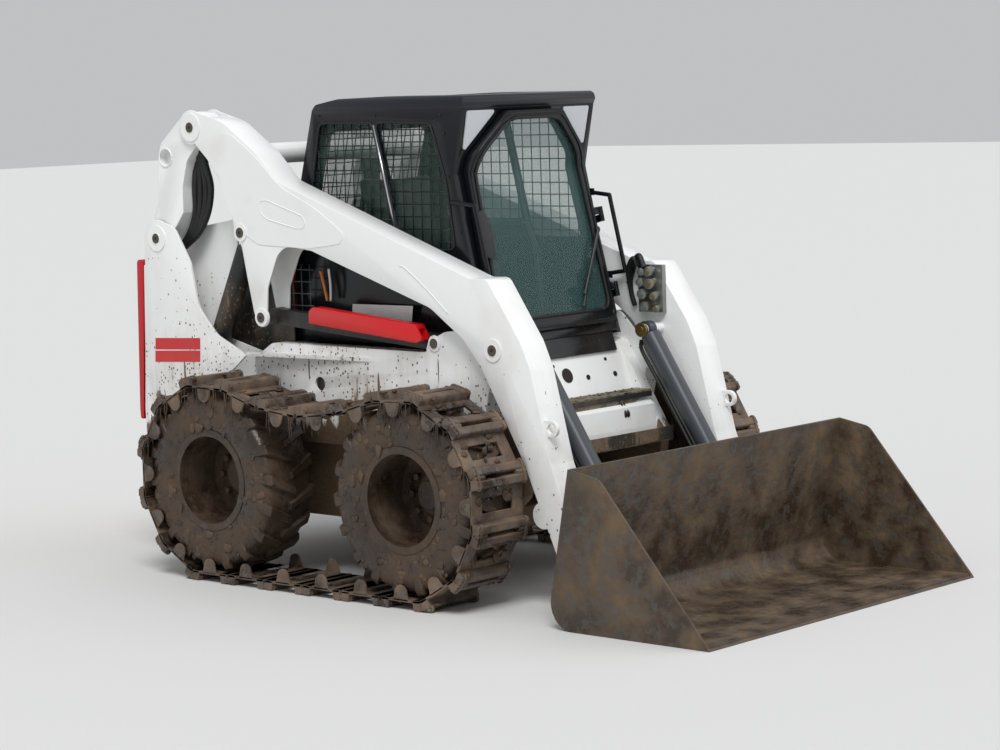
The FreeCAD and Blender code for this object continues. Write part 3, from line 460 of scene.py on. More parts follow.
def skin(rings):
    """Closed skins over rows of rings, shaped (pieces, rings, sides, 3): quads between rings and end caps."""
    pieces, count, sides = rings.shape[:3]
    i, k = np.meshgrid(np.arange(count - 1), np.arange(sides), indexing="ij")
    a, b = i * sides + k, i * sides + (k + 1) % sides
    quads = np.stack([a, b, b + sides, a + sides], -1).reshape(-1, 4).tolist()
    ends = [list(range(sides))[::-1], list(range((count - 1) * sides, count * sides))]
    faces = [[i + p * count * sides for i in face] for p in range(pieces) for face in quads + ends]
    return rings.reshape(-1, 3), faces


def mirrored(shape):
    """The same shape on the machine's other side."""
    return shape[0] * [1, -1, 1], shape[1]


def both(*shapes):
    """Each shape and its mirror image."""
    return [*shapes, *[mirrored(s) for s in shapes]]


def rounded(rows, steps=6):
    """An outline (a, b, reach) whose corners become parabolas that start and end reach away from them."""
    rows = np.asarray(rows, float)
    corner, reach = rows[:, :2], rows[:, 2:3]
    back, ahead = np.roll(corner, 1, axis=0) - corner, np.roll(corner, -1, axis=0) - corner
    long_back = np.linalg.norm(back, axis=1, keepdims=True)
    long_ahead = np.linalg.norm(ahead, axis=1, keepdims=True)
    reach = np.minimum(reach, 0.48 * np.minimum(long_back, long_ahead))
    p, q = (corner + back / long_back * reach)[:, None], (corner + ahead / long_ahead * reach)[:, None]
    t = np.linspace(0, 1, steps)[None, :, None]
    return ((1 - t) ** 2 * p + 2 * t * (1 - t) * corner[:, None] + t ** 2 * q).reshape(-1, 2)


def between(outline, y0, y1):
    """A flat outline (x, z) as two rings, one at y0 and one at y1."""
    return np.stack([np.insert(np.asarray(outline, float), 1, y, axis=1) for y in (y0, y1)])[None]


def plate(outline, y0, y1):
    """A flat plate across the machine: a side view outline (x, z) in CAD millimetres, from y0 to y1."""
    return skin(at(between(outline, y0, y1)))


def circle(sides):
    """The corners (cos t, sin t) of a regular polygon of radius 1."""
    t = np.arange(sides) * 2 * math.pi / sides
    return np.stack([np.cos(t), np.sin(t)], 1)


def prism(origin, axis, radius, height, sides=6):
    """A round or six-sided bar from origin along axis: a bolt's head, a pin or a boss. Radius in metres."""
    ring = np.insert(circle(sides) * radius, 2, 0, axis=1)
    rings = np.stack([ring, ring + [0, 0, height]])
    turn = np.array(Vector(axis).to_track_quat("Z", "Y").to_matrix())
    return skin((rings @ turn.T + np.asarray(origin))[None])


def stud(x, y, z, radius, height, sides=12):
    """A bar across the machine that starts at a CAD landmark and stands out to the left."""
    return prism(at((x, y, z)), (0, 1, 0), radius, height, sides)


def tube(path, radius, sides=8):
    """A round tube along a path: at each point a ring at right angles to the mean of the two runs."""
    path = np.asarray(path, float)
    runs = np.diff(path, axis=0)
    runs /= np.linalg.norm(runs, axis=1, keepdims=True)
    along = np.concatenate([runs[:1], runs[:-1] + runs[1:], runs[-1:]])
    along /= np.linalg.norm(along, axis=1, keepdims=True)
    guide = np.where(np.abs(along[:, 1:2]) < 0.9, [[0.0, 1.0, 0.0]], [[1.0, 0.0, 0.0]])
    u = np.cross(along, guide)
    u /= np.linalg.norm(u, axis=1, keepdims=True)
    v = np.cross(along, u)
    cos, sin = circle(sides).T[:, None, :, None]
    return skin((path[:, None] + radius * (cos * u[:, None] + sin * v[:, None]))[None])


def smooth_path(points, steps=8):
    """A rounder path through given points, by the Catmull-Rom formula on whole arrays."""
    p = np.asarray(points, float)
    p = np.concatenate([2 * p[:1] - p[1:2], p, 2 * p[-1:] - p[-2:-1]])
    t = np.linspace(0, 1, steps, endpoint=False)[None, :, None]
    a, b, c, d = (p[k:len(p) - 3 + k, None] for k in range(4))
    curve = 0.5 * (2 * b + (c - a) * t + (2 * a - 5 * b + 4 * c - d) * t ** 2
                   + (3 * b - a - 3 * c + d) * t ** 3)
    return np.concatenate([curve.reshape(-1, 3), p[-2:-1]])


def closed(outline):
    """An outline with its first point again at its end, without runs under half a millimetre."""
    ring = np.concatenate([outline, outline[:1]])
    return ring[np.concatenate([[True], np.linalg.norm(np.diff(ring, axis=0), axis=1) > 0.5])]


def contour(rows, y, radius, sides=6):
    """A round bead along a closed side view outline of (x, z, reach) rows."""
    ring = closed(rounded(rows))
    return tube(at(np.insert(ring, 1, y, axis=1)), radius, sides)


# %% [markdown]
# ## Softer edges on plate and casting
# A real plate's edge is never perfectly sharp: the saw, the torch and the paint leave a radius of one to
# three millimetres, and that thin line catches the light. The CAD solids keep sharp edges, so a copy of
# each large node gets its doubles merged and a small Bevel modifier, and stands for the node.

# %% Copies with a bevel
def carrier(name):
    """The CAD body that carries a node."""
    return nodes[name].parent.name.replace("body:", "")


def softened(name, width):
    """A merged copy of a CAD node with its sharp edges bevelled, shown in its place."""
    data = nodes[name].data.copy()
    work = bmesh.new()
    work.from_mesh(data)
    bmesh.ops.remove_doubles(work, verts=work.verts, dist=0.00002)
    bmesh.ops.dissolve_limit(work, angle_limit=math.radians(0.5), verts=work.verts, edges=work.edges)
    work.to_mesh(data)
    work.free()
    data.shade_smooth()
    made = placed(name + "_soft", data)
    bevelled(made, width)
    wear(made, nodes[name].data.materials[0])
    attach(made, carrier(name))
    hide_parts(name)


SOFT = {
    0.0030: pair("lift_arm", "rear_link") + ["bucket", "cab_roof"],
    0.0020: ["tailgate", "lift_stop", "tie_down_lugs", "hood"],
    0.0015: pair("upright", "control_link") + ["cab_shell", "door_frame", "chain_cases", "main_frame",
                                               "quick_attach", "coupler_block", "door_latch"],
}
for width, names in SOFT.items():
    for name in names:
        softened(name, width)
print("softened", sum(len(v) for v in SOFT.values()), "nodes")

# %% [markdown]
# ## Tracks over the tyres
# Each track is a chain of steel shoes that hangs over the two tyres of one side. A shoe is a plate with a
# long slot, a raised bar along its front and rear edge, and an ear at each end that hangs beside the tyre
# and keeps the track on it. On the real track the shoes are joined at both ends by links, and between the
# links one sees through. The CAD track has one plain bar in their place to save faces, so this step
# replaces it. The pins' places follow the same rule as in the CAD script: a many-sided wrap round each
# wheel, a flat run on the ground, and an upper run that sags just as much as its length asks.

# %% Where the pins lie
SHOES_UNDER, PIN_HEIGHT, SHOE_WIDTH, SHOE_GAP, TYRE_PLAY = 5, 28.0, 318.0, 14.0, 0.4
pitch = WHEEL_BASE / SHOES_UNDER
flat_r = TYRE_R + TYRE_PLAY + PIN_HEIGHT
corner_r = math.hypot(flat_r, pitch / 2)
step = 2 * math.atan(pitch / 2 / flat_r)
turns = -math.pi / 2 + step * (np.arange(round(math.pi / step) + 1) + 0.5)
front_pins = np.stack([WHEEL_BASE + corner_r * np.cos(turns), AXLE_Z + corner_r * np.sin(turns)], 1)
rear_pins = front_pins[::-1] * [-1, 1] + [WHEEL_BASE, 0]
span = front_pins[-1, 0] - rear_pins[0, 0]
count = math.ceil(span / pitch + 0.02)
ladder = (count - 1) / 2 - np.arange(count)
low, high = 0.0, 3.0
for _ in range(60):  # halves the range of the sag until the run is just as long as its shoes
    pull = (low + high) / 2
    lengths = pitch / np.hypot(1, pull * ladder)
    low, high = (pull, high) if lengths.sum() > span else (low, pull)
hops = np.stack([np.ones(count), pull * ladder], 1) * lengths[:, None]
sag = front_pins[-1] - np.cumsum(hops, axis=0)[:-1]
under = np.stack([pitch * (np.arange(SHOES_UNDER) + 0.5), np.full(SHOES_UNDER, AXLE_Z - flat_r)], 1)
pins = np.concatenate([front_pins, sag, rear_pins, under])
runs = np.roll(pins, -1, axis=0) - pins
along = runs / np.linalg.norm(runs, axis=1, keepdims=True)
middles = pins + runs / 2
at_pins = along + np.roll(along, 1, axis=0)
at_pins /= np.linalg.norm(at_pins, axis=1, keepdims=True)
at_pins[np.isclose(pins[:, 1], pins[:, 1].min())] = 1.0, 0.0  # the links on the ground lie flat
print("shoes a side", len(pins), "pitch", round(pitch, 1), "longest run",
      round(float(np.linalg.norm(runs, axis=1).max()), 1))


# %% [markdown]
# A shoe is drawn once in its own numbers, in millimetres: u along the chain, v across it and w away from
# the wheel. One array product then lays it between each pair of pins.

# %% One shoe and its joints
def laid(shape, places, directions, hand):
    """Copies a local shape (u, v, w) to each place: place - u * along + (w - pin height) * outwards."""
    points, faces = shape
    t = directions[:, None]
    outwards = np.stack([t[..., 1], -t[..., 0]], -1)
    flat = places[:, None] - t * points[None, :, 0:1] + outwards * (points[None, :, 2:3] - PIN_HEIGHT)
    y = np.broadcast_to(hand * (TYRE_Y + points[:, 1]), flat.shape[:2])
    world = at(np.stack([flat[..., 0], y, flat[..., 1]], -1)).reshape(-1, 3)
    return world, [[i + k * len(points) for i in face] for k in range(len(places)) for face in faces]


def bar_across(outline, v0, v1):
    """A local bar with the side outline (u, w), from v0 to v1."""
    return skin(between(outline, v0, v1))


def slotted(half_u, half_v, slot_u, slot_v, w0, w1):
    """A rectangular plate with a rectangular slot in its middle."""
    box = np.array([(-1, -1), (1, -1), (1, 1), (-1, 1)])
    flat = np.concatenate([box * [half_u, half_v], box * [slot_u, slot_v]])
    points = np.concatenate([np.insert(flat, 2, w, axis=1) for w in (w0, w1)]).astype(float)
    faces = []
    for k in range(4):
        n = (k + 1) % 4
        faces += [[k, n, n + 4, k + 4], [k + 8, k + 12, n + 12, n + 8], [k, k + 8, n + 8, n],
                  [k + 4, n + 4, n + 12, k + 12]]
    return points, faces


end, half = (pitch - SHOE_GAP) / 2, SHOE_WIDTH / 2
ridge = np.array([(0, 0), (0, 40), (-5, 46), (-33, 46), (-39, 40), (-44, 12), (-46, 0)]) + [end, 0]
bend = np.linspace(0, math.pi, 9)
ear = [(-46, 8), *np.stack([-36 * np.cos(bend), -26 - 36 * np.sin(bend)], 1).tolist(), (46, 8)]
bow = 17 * np.stack([np.cos(bend - math.pi / 2), np.sin(bend - math.pi / 2)], 1)
oval = np.concatenate([bow + [38, 0], -bow - [38, 0]]) + [0, PIN_HEIGHT]
knuckle = np.stack([14 * np.cos(2 * bend[:-1]), PIN_HEIGHT + 14 * np.sin(2 * bend[:-1])], 1)
hexagon = 11 * circle(6) + [0, PIN_HEIGHT]
SHOE = [slotted(end, half, 32, 95, 0, 12),
        bar_across(ridge, -half, half), bar_across(ridge * [-1, 1], -half, half),
        bar_across(ear, half - 10, half), bar_across(ear, -half, 10 - half)]
JOINT = [bar_across(oval, half - 26, half - 13), bar_across(oval, 13 - half, 26 - half),
         bar_across(knuckle, half - 62, half - 2), bar_across(knuckle, 2 - half, 62 - half)]
HEADS = [bar_across(hexagon + [u, 0], half - 13, half - 5) for u in (-38, 38)]
for side, hand in SIDES.items():
    parts = [laid(s, middles, along, hand) for s in SHOE] + [laid(s, pins, at_pins, hand) for s in JOINT]
    made = mesh_object("track_shoes_" + side, parts, track_steel, "machine", edge=0.0025)
    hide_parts("track_" + side)
    parts = [laid(s, pins, at_pins, hand) for s in HEADS]
    mesh_object("track_bolts_" + side, parts, zinc, "machine")


# %% [markdown]
# ## Clay that sticks to the track
# Wet clay packs into the slots and hangs from the shoes' edges in lumps. A bump can't show it, because
# the lumps break the outline. Each lump is one ball, flattened and pushed in and out by a few sine waves
# with their own phases, so that no two look alike.

# %% Lumps
def lumps(centres, sizes, seed, turns=10, rows=6):
    """Uneven balls: radius = 1 + 0.2 sin(3x + a) + 0.16 sin(4y + b) + 0.14 sin(5z + c), times a size."""
    rng = np.random.default_rng(seed)
    around = np.arange(turns) * 2 * math.pi / turns
    down = np.linspace(0.12, math.pi - 0.12, rows)
    ball = np.stack([np.outer(np.sin(down), np.cos(around)), np.outer(np.sin(down), np.sin(around)),
                     np.outer(np.cos(down), np.ones(turns))], -1)[None]
    phase = rng.uniform(0, 6.28, (len(centres), 1, 1, 3))
    waves = np.sin(ball * [3, 4, 5] + phase) * [0.20, 0.16, 0.14]
    ball = ball * (1 + waves.sum(-1, keepdims=True))
    return skin(centres[:, None, None] + ball * np.asarray(sizes)[:, None, None])


CLODS_A_SHOE = 9
rng = np.random.default_rng(7)
shoe = np.repeat(np.arange(len(middles)), CLODS_A_SHOE)
many = len(shoe)
for side, hand in SIDES.items():
    u, v = rng.uniform(-95, 95, many), rng.uniform(-135, 140, many)
    w = np.where(np.abs(u) < 60, rng.uniform(8, 16, many), rng.uniform(38, 43, many))
    local = laid((np.zeros((1, 3)), []), middles[shoe] - along[shoe] * u[:, None], along[shoe], hand)[0]
    outwards = np.stack([along[shoe, 1], 0 * u, -along[shoe, 0]], 1)
    spots = local + outwards * w[:, None] / 1000 + np.stack([0 * u, hand * v, 0 * u], 1) / 1000
    sizes = rng.uniform(0.007, 0.021, (many, 1)) * rng.uniform(0.7, 1.4, (many, 3))
    sizes = np.where(np.abs(outwards) > 0.7, np.minimum(sizes, 0.007), sizes)
    keep = spots[:, 2] - 1.5 * sizes.max(1) > cad_low.z
    parts = [lumps(spots[keep], sizes[keep], 11)]
    mesh_object("track_clods_" + side, parts, clod_clay, "machine", smooth=True)
print("clods", int(keep.sum()), "on the last track")

# %% [markdown]
# ## Tyres
# The tyres are 12-16.5 loader tyres with a bulging side wall and deep bars that run from the middle of the
# tread to the shoulder. The bars lean into the direction of travel, so that mud is pressed outwards. The
# CAD tyre is a plain many-sided ring; here a rounder profile is turned about the axle, and 2 × 18 bars are
# laid on it, each a row of four-cornered sections that leans as it goes outwards and then bends down the
# side wall.

# %% Carcass and bars
WALL = [(212, 104), (215, 122), (228, 131), (258, 141), (298, 145), (338, 144), (368, 139), (386, 127),
        (395, 104), (398, 60), (399, 0)]
BARS = 18
WHEELS = {"front_left": (WHEEL_BASE, 1), "front_right": (WHEEL_BASE, -1), "rear_left": (0.0, 1),
          "rear_right": (0.0, -1)}


def turned(profile, x, y, sides=64):
    """A closed profile (radius, across) turned about the axle at x; its last ring meets the first."""
    radius, over = np.asarray(profile, float).T
    t = np.arange(sides)[:, None] * 2 * math.pi / sides
    points = np.stack([x + radius * np.cos(t), y + over + 0 * t, AXLE_Z + radius * np.sin(t)], -1)
    i, k = np.meshgrid(np.arange(sides), np.arange(len(profile)), indexing="ij")
    a, b = i * len(profile) + k, i * len(profile) + (k + 1) % len(profile)
    ahead = ((i + 1) % sides - i) * len(profile)
    return at(points).reshape(-1, 3), np.stack([a, b, b + ahead, a + ahead], -1).reshape(-1, 4).tolist()


def tread_bars(x, y, hand):
    """Bars of one half tread. Each station: (across, radius) of foot and top, its lean and its half width."""
    foot = np.array([(-12, 392), (35, 392), (85, 390), (118, 380), (134, 362), (140, 330)])
    top = np.array([(-12, 418), (35, 418), (85, 417.5), (128, 413), (145.5, 386), (145.8, 338)])
    lean = np.array([0.0, 0.05, 0.105, 0.15, 0.165, 0.17])[None, :, None]
    wide = np.array([0.050, 0.055, 0.062, 0.070, 0.072, 0.045])[None, :, None] * [-1.0, -0.8, 0.8, 1.0]
    start = (np.arange(BARS) + 0.25 * hand)[:, None, None] * 2 * math.pi / BARS
    angle = start + lean + wide
    corner = np.stack([foot, top, top, foot], 1)[None]
    points = np.stack([x + corner[..., 1] * np.cos(angle), y + hand * corner[..., 0] + 0 * angle,
                       AXLE_Z + corner[..., 1] * np.sin(angle)], -1)
    return skin(at(points))


profile = WALL + [(r, -y) for r, y in WALL[-2::-1]]
for name, (x, hand) in WHEELS.items():
    carcass = [turned(profile, x, hand * TYRE_Y)]
    made = mesh_object("tyre_carcass_" + name, carcass, tyre_rubber, "machine", smooth=True)
    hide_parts("tyre_" + name)
    bars = [tread_bars(x, hand * TYRE_Y, 1), tread_bars(x, hand * TYRE_Y, -1)]
    mesh_object("tyre_bars_" + name, bars, tyre_rubber, "machine", edge=0.004)
print("tread bars", BARS * 2 * len(WHEELS))

# %% [markdown]
# ## Clay on the side walls, and strings of it
# Clay also dries in cakes on the tyres' walls, and wet clay runs off the shoes' outer ends in thin strings.
# The cakes are the same uneven balls, pressed flat against the wall: the wall's profile gives how far out
# each one lies. A string is a thin tapering column of rings that hangs from a shoe's edge and sways a little.

# %% Cakes and strings
CAKES, STRINGS = 90, 130
wall_radius, wall_reach = np.array(WALL[3:9], float).T
upper = np.nonzero(along[:, 0] < -0.2)[0]  # the shoes of the upper run and over the wheels
for side, hand in SIDES.items():
    rng = np.random.default_rng(23)
    hub_x = np.repeat([WHEEL_BASE, 0.0], CAKES)
    radius, angle = rng.uniform(240, 388, 2 * CAKES), rng.uniform(0, 2 * math.pi, 2 * CAKES)
    reach = np.interp(radius, wall_radius, wall_reach)
    spots = at(np.stack([hub_x + radius * np.cos(angle), hand * (TYRE_Y + reach - 1),
                         AXLE_Z + radius * np.sin(angle)], 1))
    sizes = rng.uniform(0.007, 0.022, (2 * CAKES, 1)) * np.stack(
        [rng.uniform(0.7, 1.5, 2 * CAKES), 0 * radius + 0.22, rng.uniform(0.7, 1.5, 2 * CAKES)], 1)
    mesh_object("tyre_cakes_" + side, [lumps(spots, sizes, 29)], clod_clay, "machine", smooth=True)
    shoe = rng.choice(upper, STRINGS)
    inwards = np.stack([-along[shoe, 1], along[shoe, 0]], 1)
    tops = middles[shoe] - along[shoe] * rng.uniform(-100, 100, (STRINGS, 1)) + inwards * (PIN_HEIGHT - 4)
    lengths = rng.uniform(25, 120, (STRINGS, 1))
    drop = np.linspace(0, 1, 6)[None]
    thick = rng.uniform(1.6, 3.6, (STRINGS, 1)) * np.array([[1.5, 0.9, 0.7, 0.6, 0.8, 0.3]])
    sway = 5 * np.sin(3 * drop + rng.uniform(0, 6.28, (STRINGS, 1))) * drop
    over = hand * (TYRE_Y + half - 5 + 0 * sway)
    centre = np.stack([tops[:, :1] + sway, over, tops[:, 1:] - lengths * drop], -1)
    strings = at(centre[:, :, None] + thick[:, :, None, None] * np.insert(circle(5), 2, 0, axis=1))
    mesh_object("mud_strings_" + side, [skin(strings)], clod_clay, "machine", smooth=True)
print("cakes", 2 * CAKES, "and strings", STRINGS, "a side")

# %% [markdown]
# ## Wheel nuts and hub caps
# Each rim is held by eight nuts on a circle, round a pressed cap. A bead ring of half-round section stands
# where the pressed rim turns outwards; its bright, wet edge is what draws the rim's circle in the photo.

# %% Nuts, caps and rim rings
NUT_CIRCLE, NUTS, DISC_Y = 0.105, 8, 762.0
for name, (x, hand) in WHEELS.items():
    hub = at((x, hand * (DISC_Y - 14), AXLE_Z))
    spots = hub + np.insert(circle(NUTS), 1, 0, axis=1) * NUT_CIRCLE
    parts = [prism(spot, (0, hand, 0), 0.016, 0.03) for spot in spots]
    parts.append(prism(hub, (0, hand, 0), 0.062, 0.032, 24))
    mesh_object("wheel_nuts_" + name, parts, rim_steel, "machine", edge=0.002)
    rings = [turned([r, over] + 5 * circle(6), x, hand * TYRE_Y, 72)
             for r, over in ((214, hand * 119), (204, hand * 70))]
    mesh_object("rim_rings_" + name, rings, rim_steel, "machine", smooth=True)

# %% [markdown]
# ## Wire screens
# The side windows, the rear window and the engine bay are guarded by welded wire mesh with openings of
# about two inches. Each wire is a straight rod cut where it meets the window's outline, so the outline's
# own corners decide where each wire begins and ends. One set of wires lies over the other, as welded mesh
# does.

# %% Clipping a wire to a window
SCREEN_PITCH, WIRE_R, WIRE_LAYER = 0.055, 0.0026, 0.0048


def spans(outline, axis, value):
    """Where the line axis = value crosses a closed outline: pairs of limits along the other axis."""
    p, q = outline, np.roll(outline, -1, axis=0)
    crosses = (p[:, axis] - value) * (q[:, axis] - value) < 0
    p, q = p[crosses], q[crosses]
    share = (value - p[:, axis]) / (q[:, axis] - p[:, axis])
    hits = np.sort(p[:, 1 - axis] + share * (q[:, 1 - axis] - p[:, 1 - axis]))
    return hits.reshape(-1, 2)


def screen(outline, place):
    """Two layers of wires over an outline of (a, b) in metres; place turns (a, b, layer) into the frame."""
    outline = np.asarray(outline, float)
    parts = []
    for axis in (0, 1):
        low, high = outline[:, axis].min(), outline[:, axis].max()
        wires = int((high - low) / SCREEN_PITCH)
        first = (low + high - (wires - 1) * SCREEN_PITCH) / 2
        for value in first + np.arange(wires) * SCREEN_PITCH:
            for limits in spans(outline, axis, value):
                ends = np.insert(limits[:, None], axis, value, axis=1)
                parts.append(tube([place(a, b, axis) for a, b in ends], WIRE_R, 6))
    return parts


# %% Screens of the windows and the engine bay
CAB_HALF, SCREEN_Y, BAY_Y = 446.0, 433, 482
WINDOW_REAR = [(285, 2042), (222, 1745), (222, 1560), (738, 1560), (621, 2042)]
WINDOW_FRONT = [(639, 2042), (775, 1480), (1105, 1480), (1062, 1782), (978, 2035)]
BAY = [(30, 1400), (250, 1405), (250, 1130), (60, 1130)]


def side_screen(rows, y, hand):
    """A screen in the side view, its outline in CAD millimetres, with its wires about y."""
    def place(a, b, layer):
        """A place in the window's plane, one wire farther out in the second layer."""
        return np.array([a, hand * (y / 1000 + WIRE_LAYER * layer), b]) + SHIFT
    return screen(np.array(rows) / 1000, place)


def lean_back(a, b, layer):
    """A place behind the rear glass, which leans: its height decides how far forward it lies."""
    return at((np.interp(b, [1.5, 1.78, 2.07], [108, 163, 245]) - 8 - 5 * layer, 1000 * a, 1000 * b))


for side, hand in SIDES.items():
    parts = side_screen(WINDOW_REAR, SCREEN_Y, hand) + side_screen(WINDOW_FRONT, SCREEN_Y, hand)
    mesh_object("window_screens_" + side, parts, wire_black, "machine", smooth=True)
mesh_object("bay_screen", both(*side_screen(BAY, BAY_Y, 1)), bay_wire, "machine", smooth=True)
bar_path = [[766 + (630 - 766) * s, CAB_HALF + 2.5, 1480 + (2042 - 1480) * s] for s in (0.02, 0.98)]
mesh_object("window_bars", both(tube(at(bar_path), 0.0055)), bright_bar, "machine", smooth=True)
rear_rows = np.array([(-330, 1600), (330, 1600), (330, 2000), (-330, 2000)]) / 1000
mesh_object("rear_screen", screen(rear_rows, lean_back), wire_black, "machine", smooth=True)

# %% [markdown]
# ## Rubber round the glass, and the door's second frame line
# Each fixed pane sits in a rubber profile, which shows as a soft black line round the opening. The door is
# bent twice across its height, so its profile follows the bend: the height decides how far forward the
# line lies, and linear interpolation between the bends gives it.

# %% Seals
DOOR_HALF = CAB_HALF - 33
BENDS_Z, BENDS_X = [1105, 1180, 1813, 2078], [1267, 1250, 1105, 1161]


def door_line(rows, ahead):
    """A closed line on the bent door, ahead of the cab's front: rows (y, z, reach) of its left corners."""
    rows = np.array(rows, float)
    line = closed(rounded(np.concatenate([rows, rows[::-1] * [-1, 1, 1]])))
    dense = [np.linspace(p, q, 9)[:-1] if np.linalg.norm(q - p) > 120 else p[None]
             for p, q in zip(line, line[1:])]
    dense = np.concatenate([*dense, line[-1:]])
    x = np.interp(dense[:, 1], BENDS_Z, BENDS_X) + ahead
    return at(np.stack([x, dense[:, 0], dense[:, 1]], 1))


inner_line = [(DOOR_HALF - 41, 1165, 60), (DOOR_HALF - 68, 1865, 90), (160, 2045, 60)]
outer_line = [(DOOR_HALF - 14, 1122, 60), (DOOR_HALF - 38, 1876, 90), (178, 2066, 60)]
mesh_object("door_seal", [tube(door_line(inner_line, 41), 0.0075)], rubber, "door", smooth=True)
mesh_object("door_rim", [tube(door_line(outer_line, 40), 0.0045)], cab_black, "door", smooth=True)
seals = [contour([(x, z, 34) for x, z in rows], CAB_HALF + 0.5, 0.005, 8)
         for rows in (WINDOW_REAR, WINDOW_FRONT)]
mesh_object("window_seals", both(*seals), rubber, "machine", smooth=True)
print("window seals", 2 * len(seals))

# %% [markdown]
# ## Bosses, pins and plates of the arms
# Round each pivot a thick washer is welded to the arm, so that the pin bears on more steel, and the pin's
# head shows in it with one locking bolt. The arm's side also carries a doubler: a second plate over the
# bend, whose edge shows as a fine line, with a long pressed groove in its middle. They follow the arms, the
# rear links and the uprights when the lift moves.

# %% Bosses and pin heads
ARM_OUT = 640.0
PIVOTS = {
    "lift_arms": [(-371, 2039, 66), (1890, 205, 62), (62, 1167, 42), (-57, 1554, 42), (1484, 1074, 50)],
    "machine": [(-642, 1519, 62), (-470, 720, 44)],
}
for body, rows in PIVOTS.items():
    white = arm_white if body == "lift_arms" else body_white
    bosses = [stud(x, ARM_OUT - 1, z, r / 1000, 0.007, 32) for x, z, r in rows]
    heads = [stud(x, ARM_OUT + 5, z, 0.024, 0.006, 24) for x, z, _ in rows]
    bolts = [stud(x, ARM_OUT + 10, z, 0.007, 0.0015) for x, z, _ in rows]
    mesh_object("bosses_" + body, both(*bosses), white, body, edge=0.002)
    mesh_object("pin_heads_" + body, both(*heads), pin_steel, body, edge=0.0015)
    mesh_object("pin_bolts_" + body, both(*bolts), dark_bolt, body)
mesh_object("ear_bosses", both(stud(1089, 579.5, 1083, 0.036, 0.006, 28)), body_white, "machine", edge=0.0015)
mesh_object("ear_pins", both(stud(1089, 586, 1083, 0.022, 0.005, 28)), pin_steel, "machine", edge=0.001)
bore = [(-575 + 43 * math.cos(t), 623, 1900 + 43 * math.sin(t)) for t in np.linspace(0, 2 * math.pi, 33)]
mesh_object("rear_link_rings", both(tube(at(bore), 0.004)), link_white, "rear_links", smooth=True)

# %% Doubler, groove and seams
DOUBLER = [(-140, 1660, 60), (-60, 1560, 30), (60, 1500, 20), (383, 1487, 10), (594, 1512, 26),
           (612, 1560, 30), (438, 1669, 50), (214, 1764, 60), (70, 1896, 80), (-120, 2020, 60),
           (-240, 1975, 60)]
GROOVE = [(83, 1700, 16), (126, 1704, 20), (354, 1634, 30), (376, 1607, 16), (359, 1578, 20), (314, 1578, 20),
          (121, 1618, 30), (85, 1646, 16)]
arm_lines = [plate(rounded(DOUBLER), ARM_OUT - 1, ARM_OUT + 3), contour(GROOVE, ARM_OUT + 3, 0.003)]
mesh_object("arm_doublers", both(*arm_lines), arm_white, "lift_arms", edge=0.0015)
knee = [(x, ARM_OUT, z) for x, z in ((950, 1424), (985, 1411), (1100, 1330), (1231, 1222))]
mesh_object("arm_seams", both(tube(smooth_path(at(knee)), 0.0028, 6)), arm_white, "lift_arms", smooth=True)

# %% [markdown]
# ## Bars, plate and stripes without words
# The cover behind the arm carries a white data plate, left blank here, and the upright carries two plain
# red bars. Both are thin film or sheet, so they are plates 1 to 1.5 mm thick that stand out of the paint.

# %% Plate and red bars
plate_rows = [(481, 1156), (857, 1164), (867, 1231), (491, 1229)]
mesh_object("blank_plate", [mirrored(plate(plate_rows, 478, 479.5))], label_white, "machine")
BAR_ROWS = [[(-688, 989), (-370, 1002), (-367, 1056), (-685, 1044)],
            [(-693, 929), (-374, 943), (-370, 997), (-689, 983)]]
red_bars = [plate(rows, ARM_OUT - 0.3, ARM_OUT + 0.8) for rows in BAR_ROWS]
mesh_object("red_bars_right", [mirrored(bar) for bar in red_bars], stripe_red, "machine")
mesh_object("red_bars_left", red_bars, stripe_red, "machine")


# %% [markdown]
# ## Hoses and cables
# Steel lines and hoses feed the lift: a black bundle comes up behind each rear link, a line lies along each
# tilt cylinder, hoses run to the quick couplers on the left arm, and two cables show in the engine bay. Each
# follows a smooth path through a few points and rides on one body; none hangs free. The bundle's lower ends
# bend into the upright on the real machine, but here they move with the link.

# %% Hoses
def hose(points, radius):
    """A hose through landmarks (x, y, z) in CAD millimetres."""
    return tube(smooth_path(at(points)), radius, 10)


bundle = [hose([(-398 + d * 0.4, 565, 1965), (-412 + d, 560 + d / 4, 1870), (-408 + d, 565 - d / 4, 1760),
                (-424 + d, 560, 1640), (-470 + d * 0.7, 565, 1545), (-545 + d * 0.3, 565, 1478)], 0.016)
          for d in (-26, 4, 34, 60)]
mesh_object("rear_hoses", both(*bundle), hose_black, "rear_links", smooth=True)
TILT_Y = 400
foot, eye = np.array([1484.0, 1074.0]), np.array([1958.6, 338.4])
way = (eye - foot) / np.linalg.norm(eye - foot)
off = np.array([way[1], -way[0]])
for name, y, shift, radius, material in (("tilt_lines", TILT_Y, 60, 0.007, zinc),
                                         ("tilt_hoses", TILT_Y - 22, 66, 0.009, hose_black)):
    path = [foot + way * s + off * (shift if 60 < s < 600 else 42) for s in (30, 70, 200, 400, 590, 640)]
    mesh_object(name, both(hose([(x, y, z) for x, z in path], radius)), material, "tilt_barrels", smooth=True)
x, z = foot + way * 665
gland = prism(at((x, TILT_Y, z)), (way[0], 0, way[1]), 0.0462, 0.020, 28)
caps = [prism(at((foot[0], y, foot[1])), (0, -1, 0), r, reach, 28)
        for y, r, reach in ((374, 0.0262, 0.016), (358, 0.033, 0.008), (350, 0.016, 0.006))]
mesh_object("tilt_glands", both(gland), cylinder_grey, "tilt_barrels", edge=0.002)
mesh_object("tilt_pin_caps", both(*caps), brass, "lift_arms", edge=0.002)
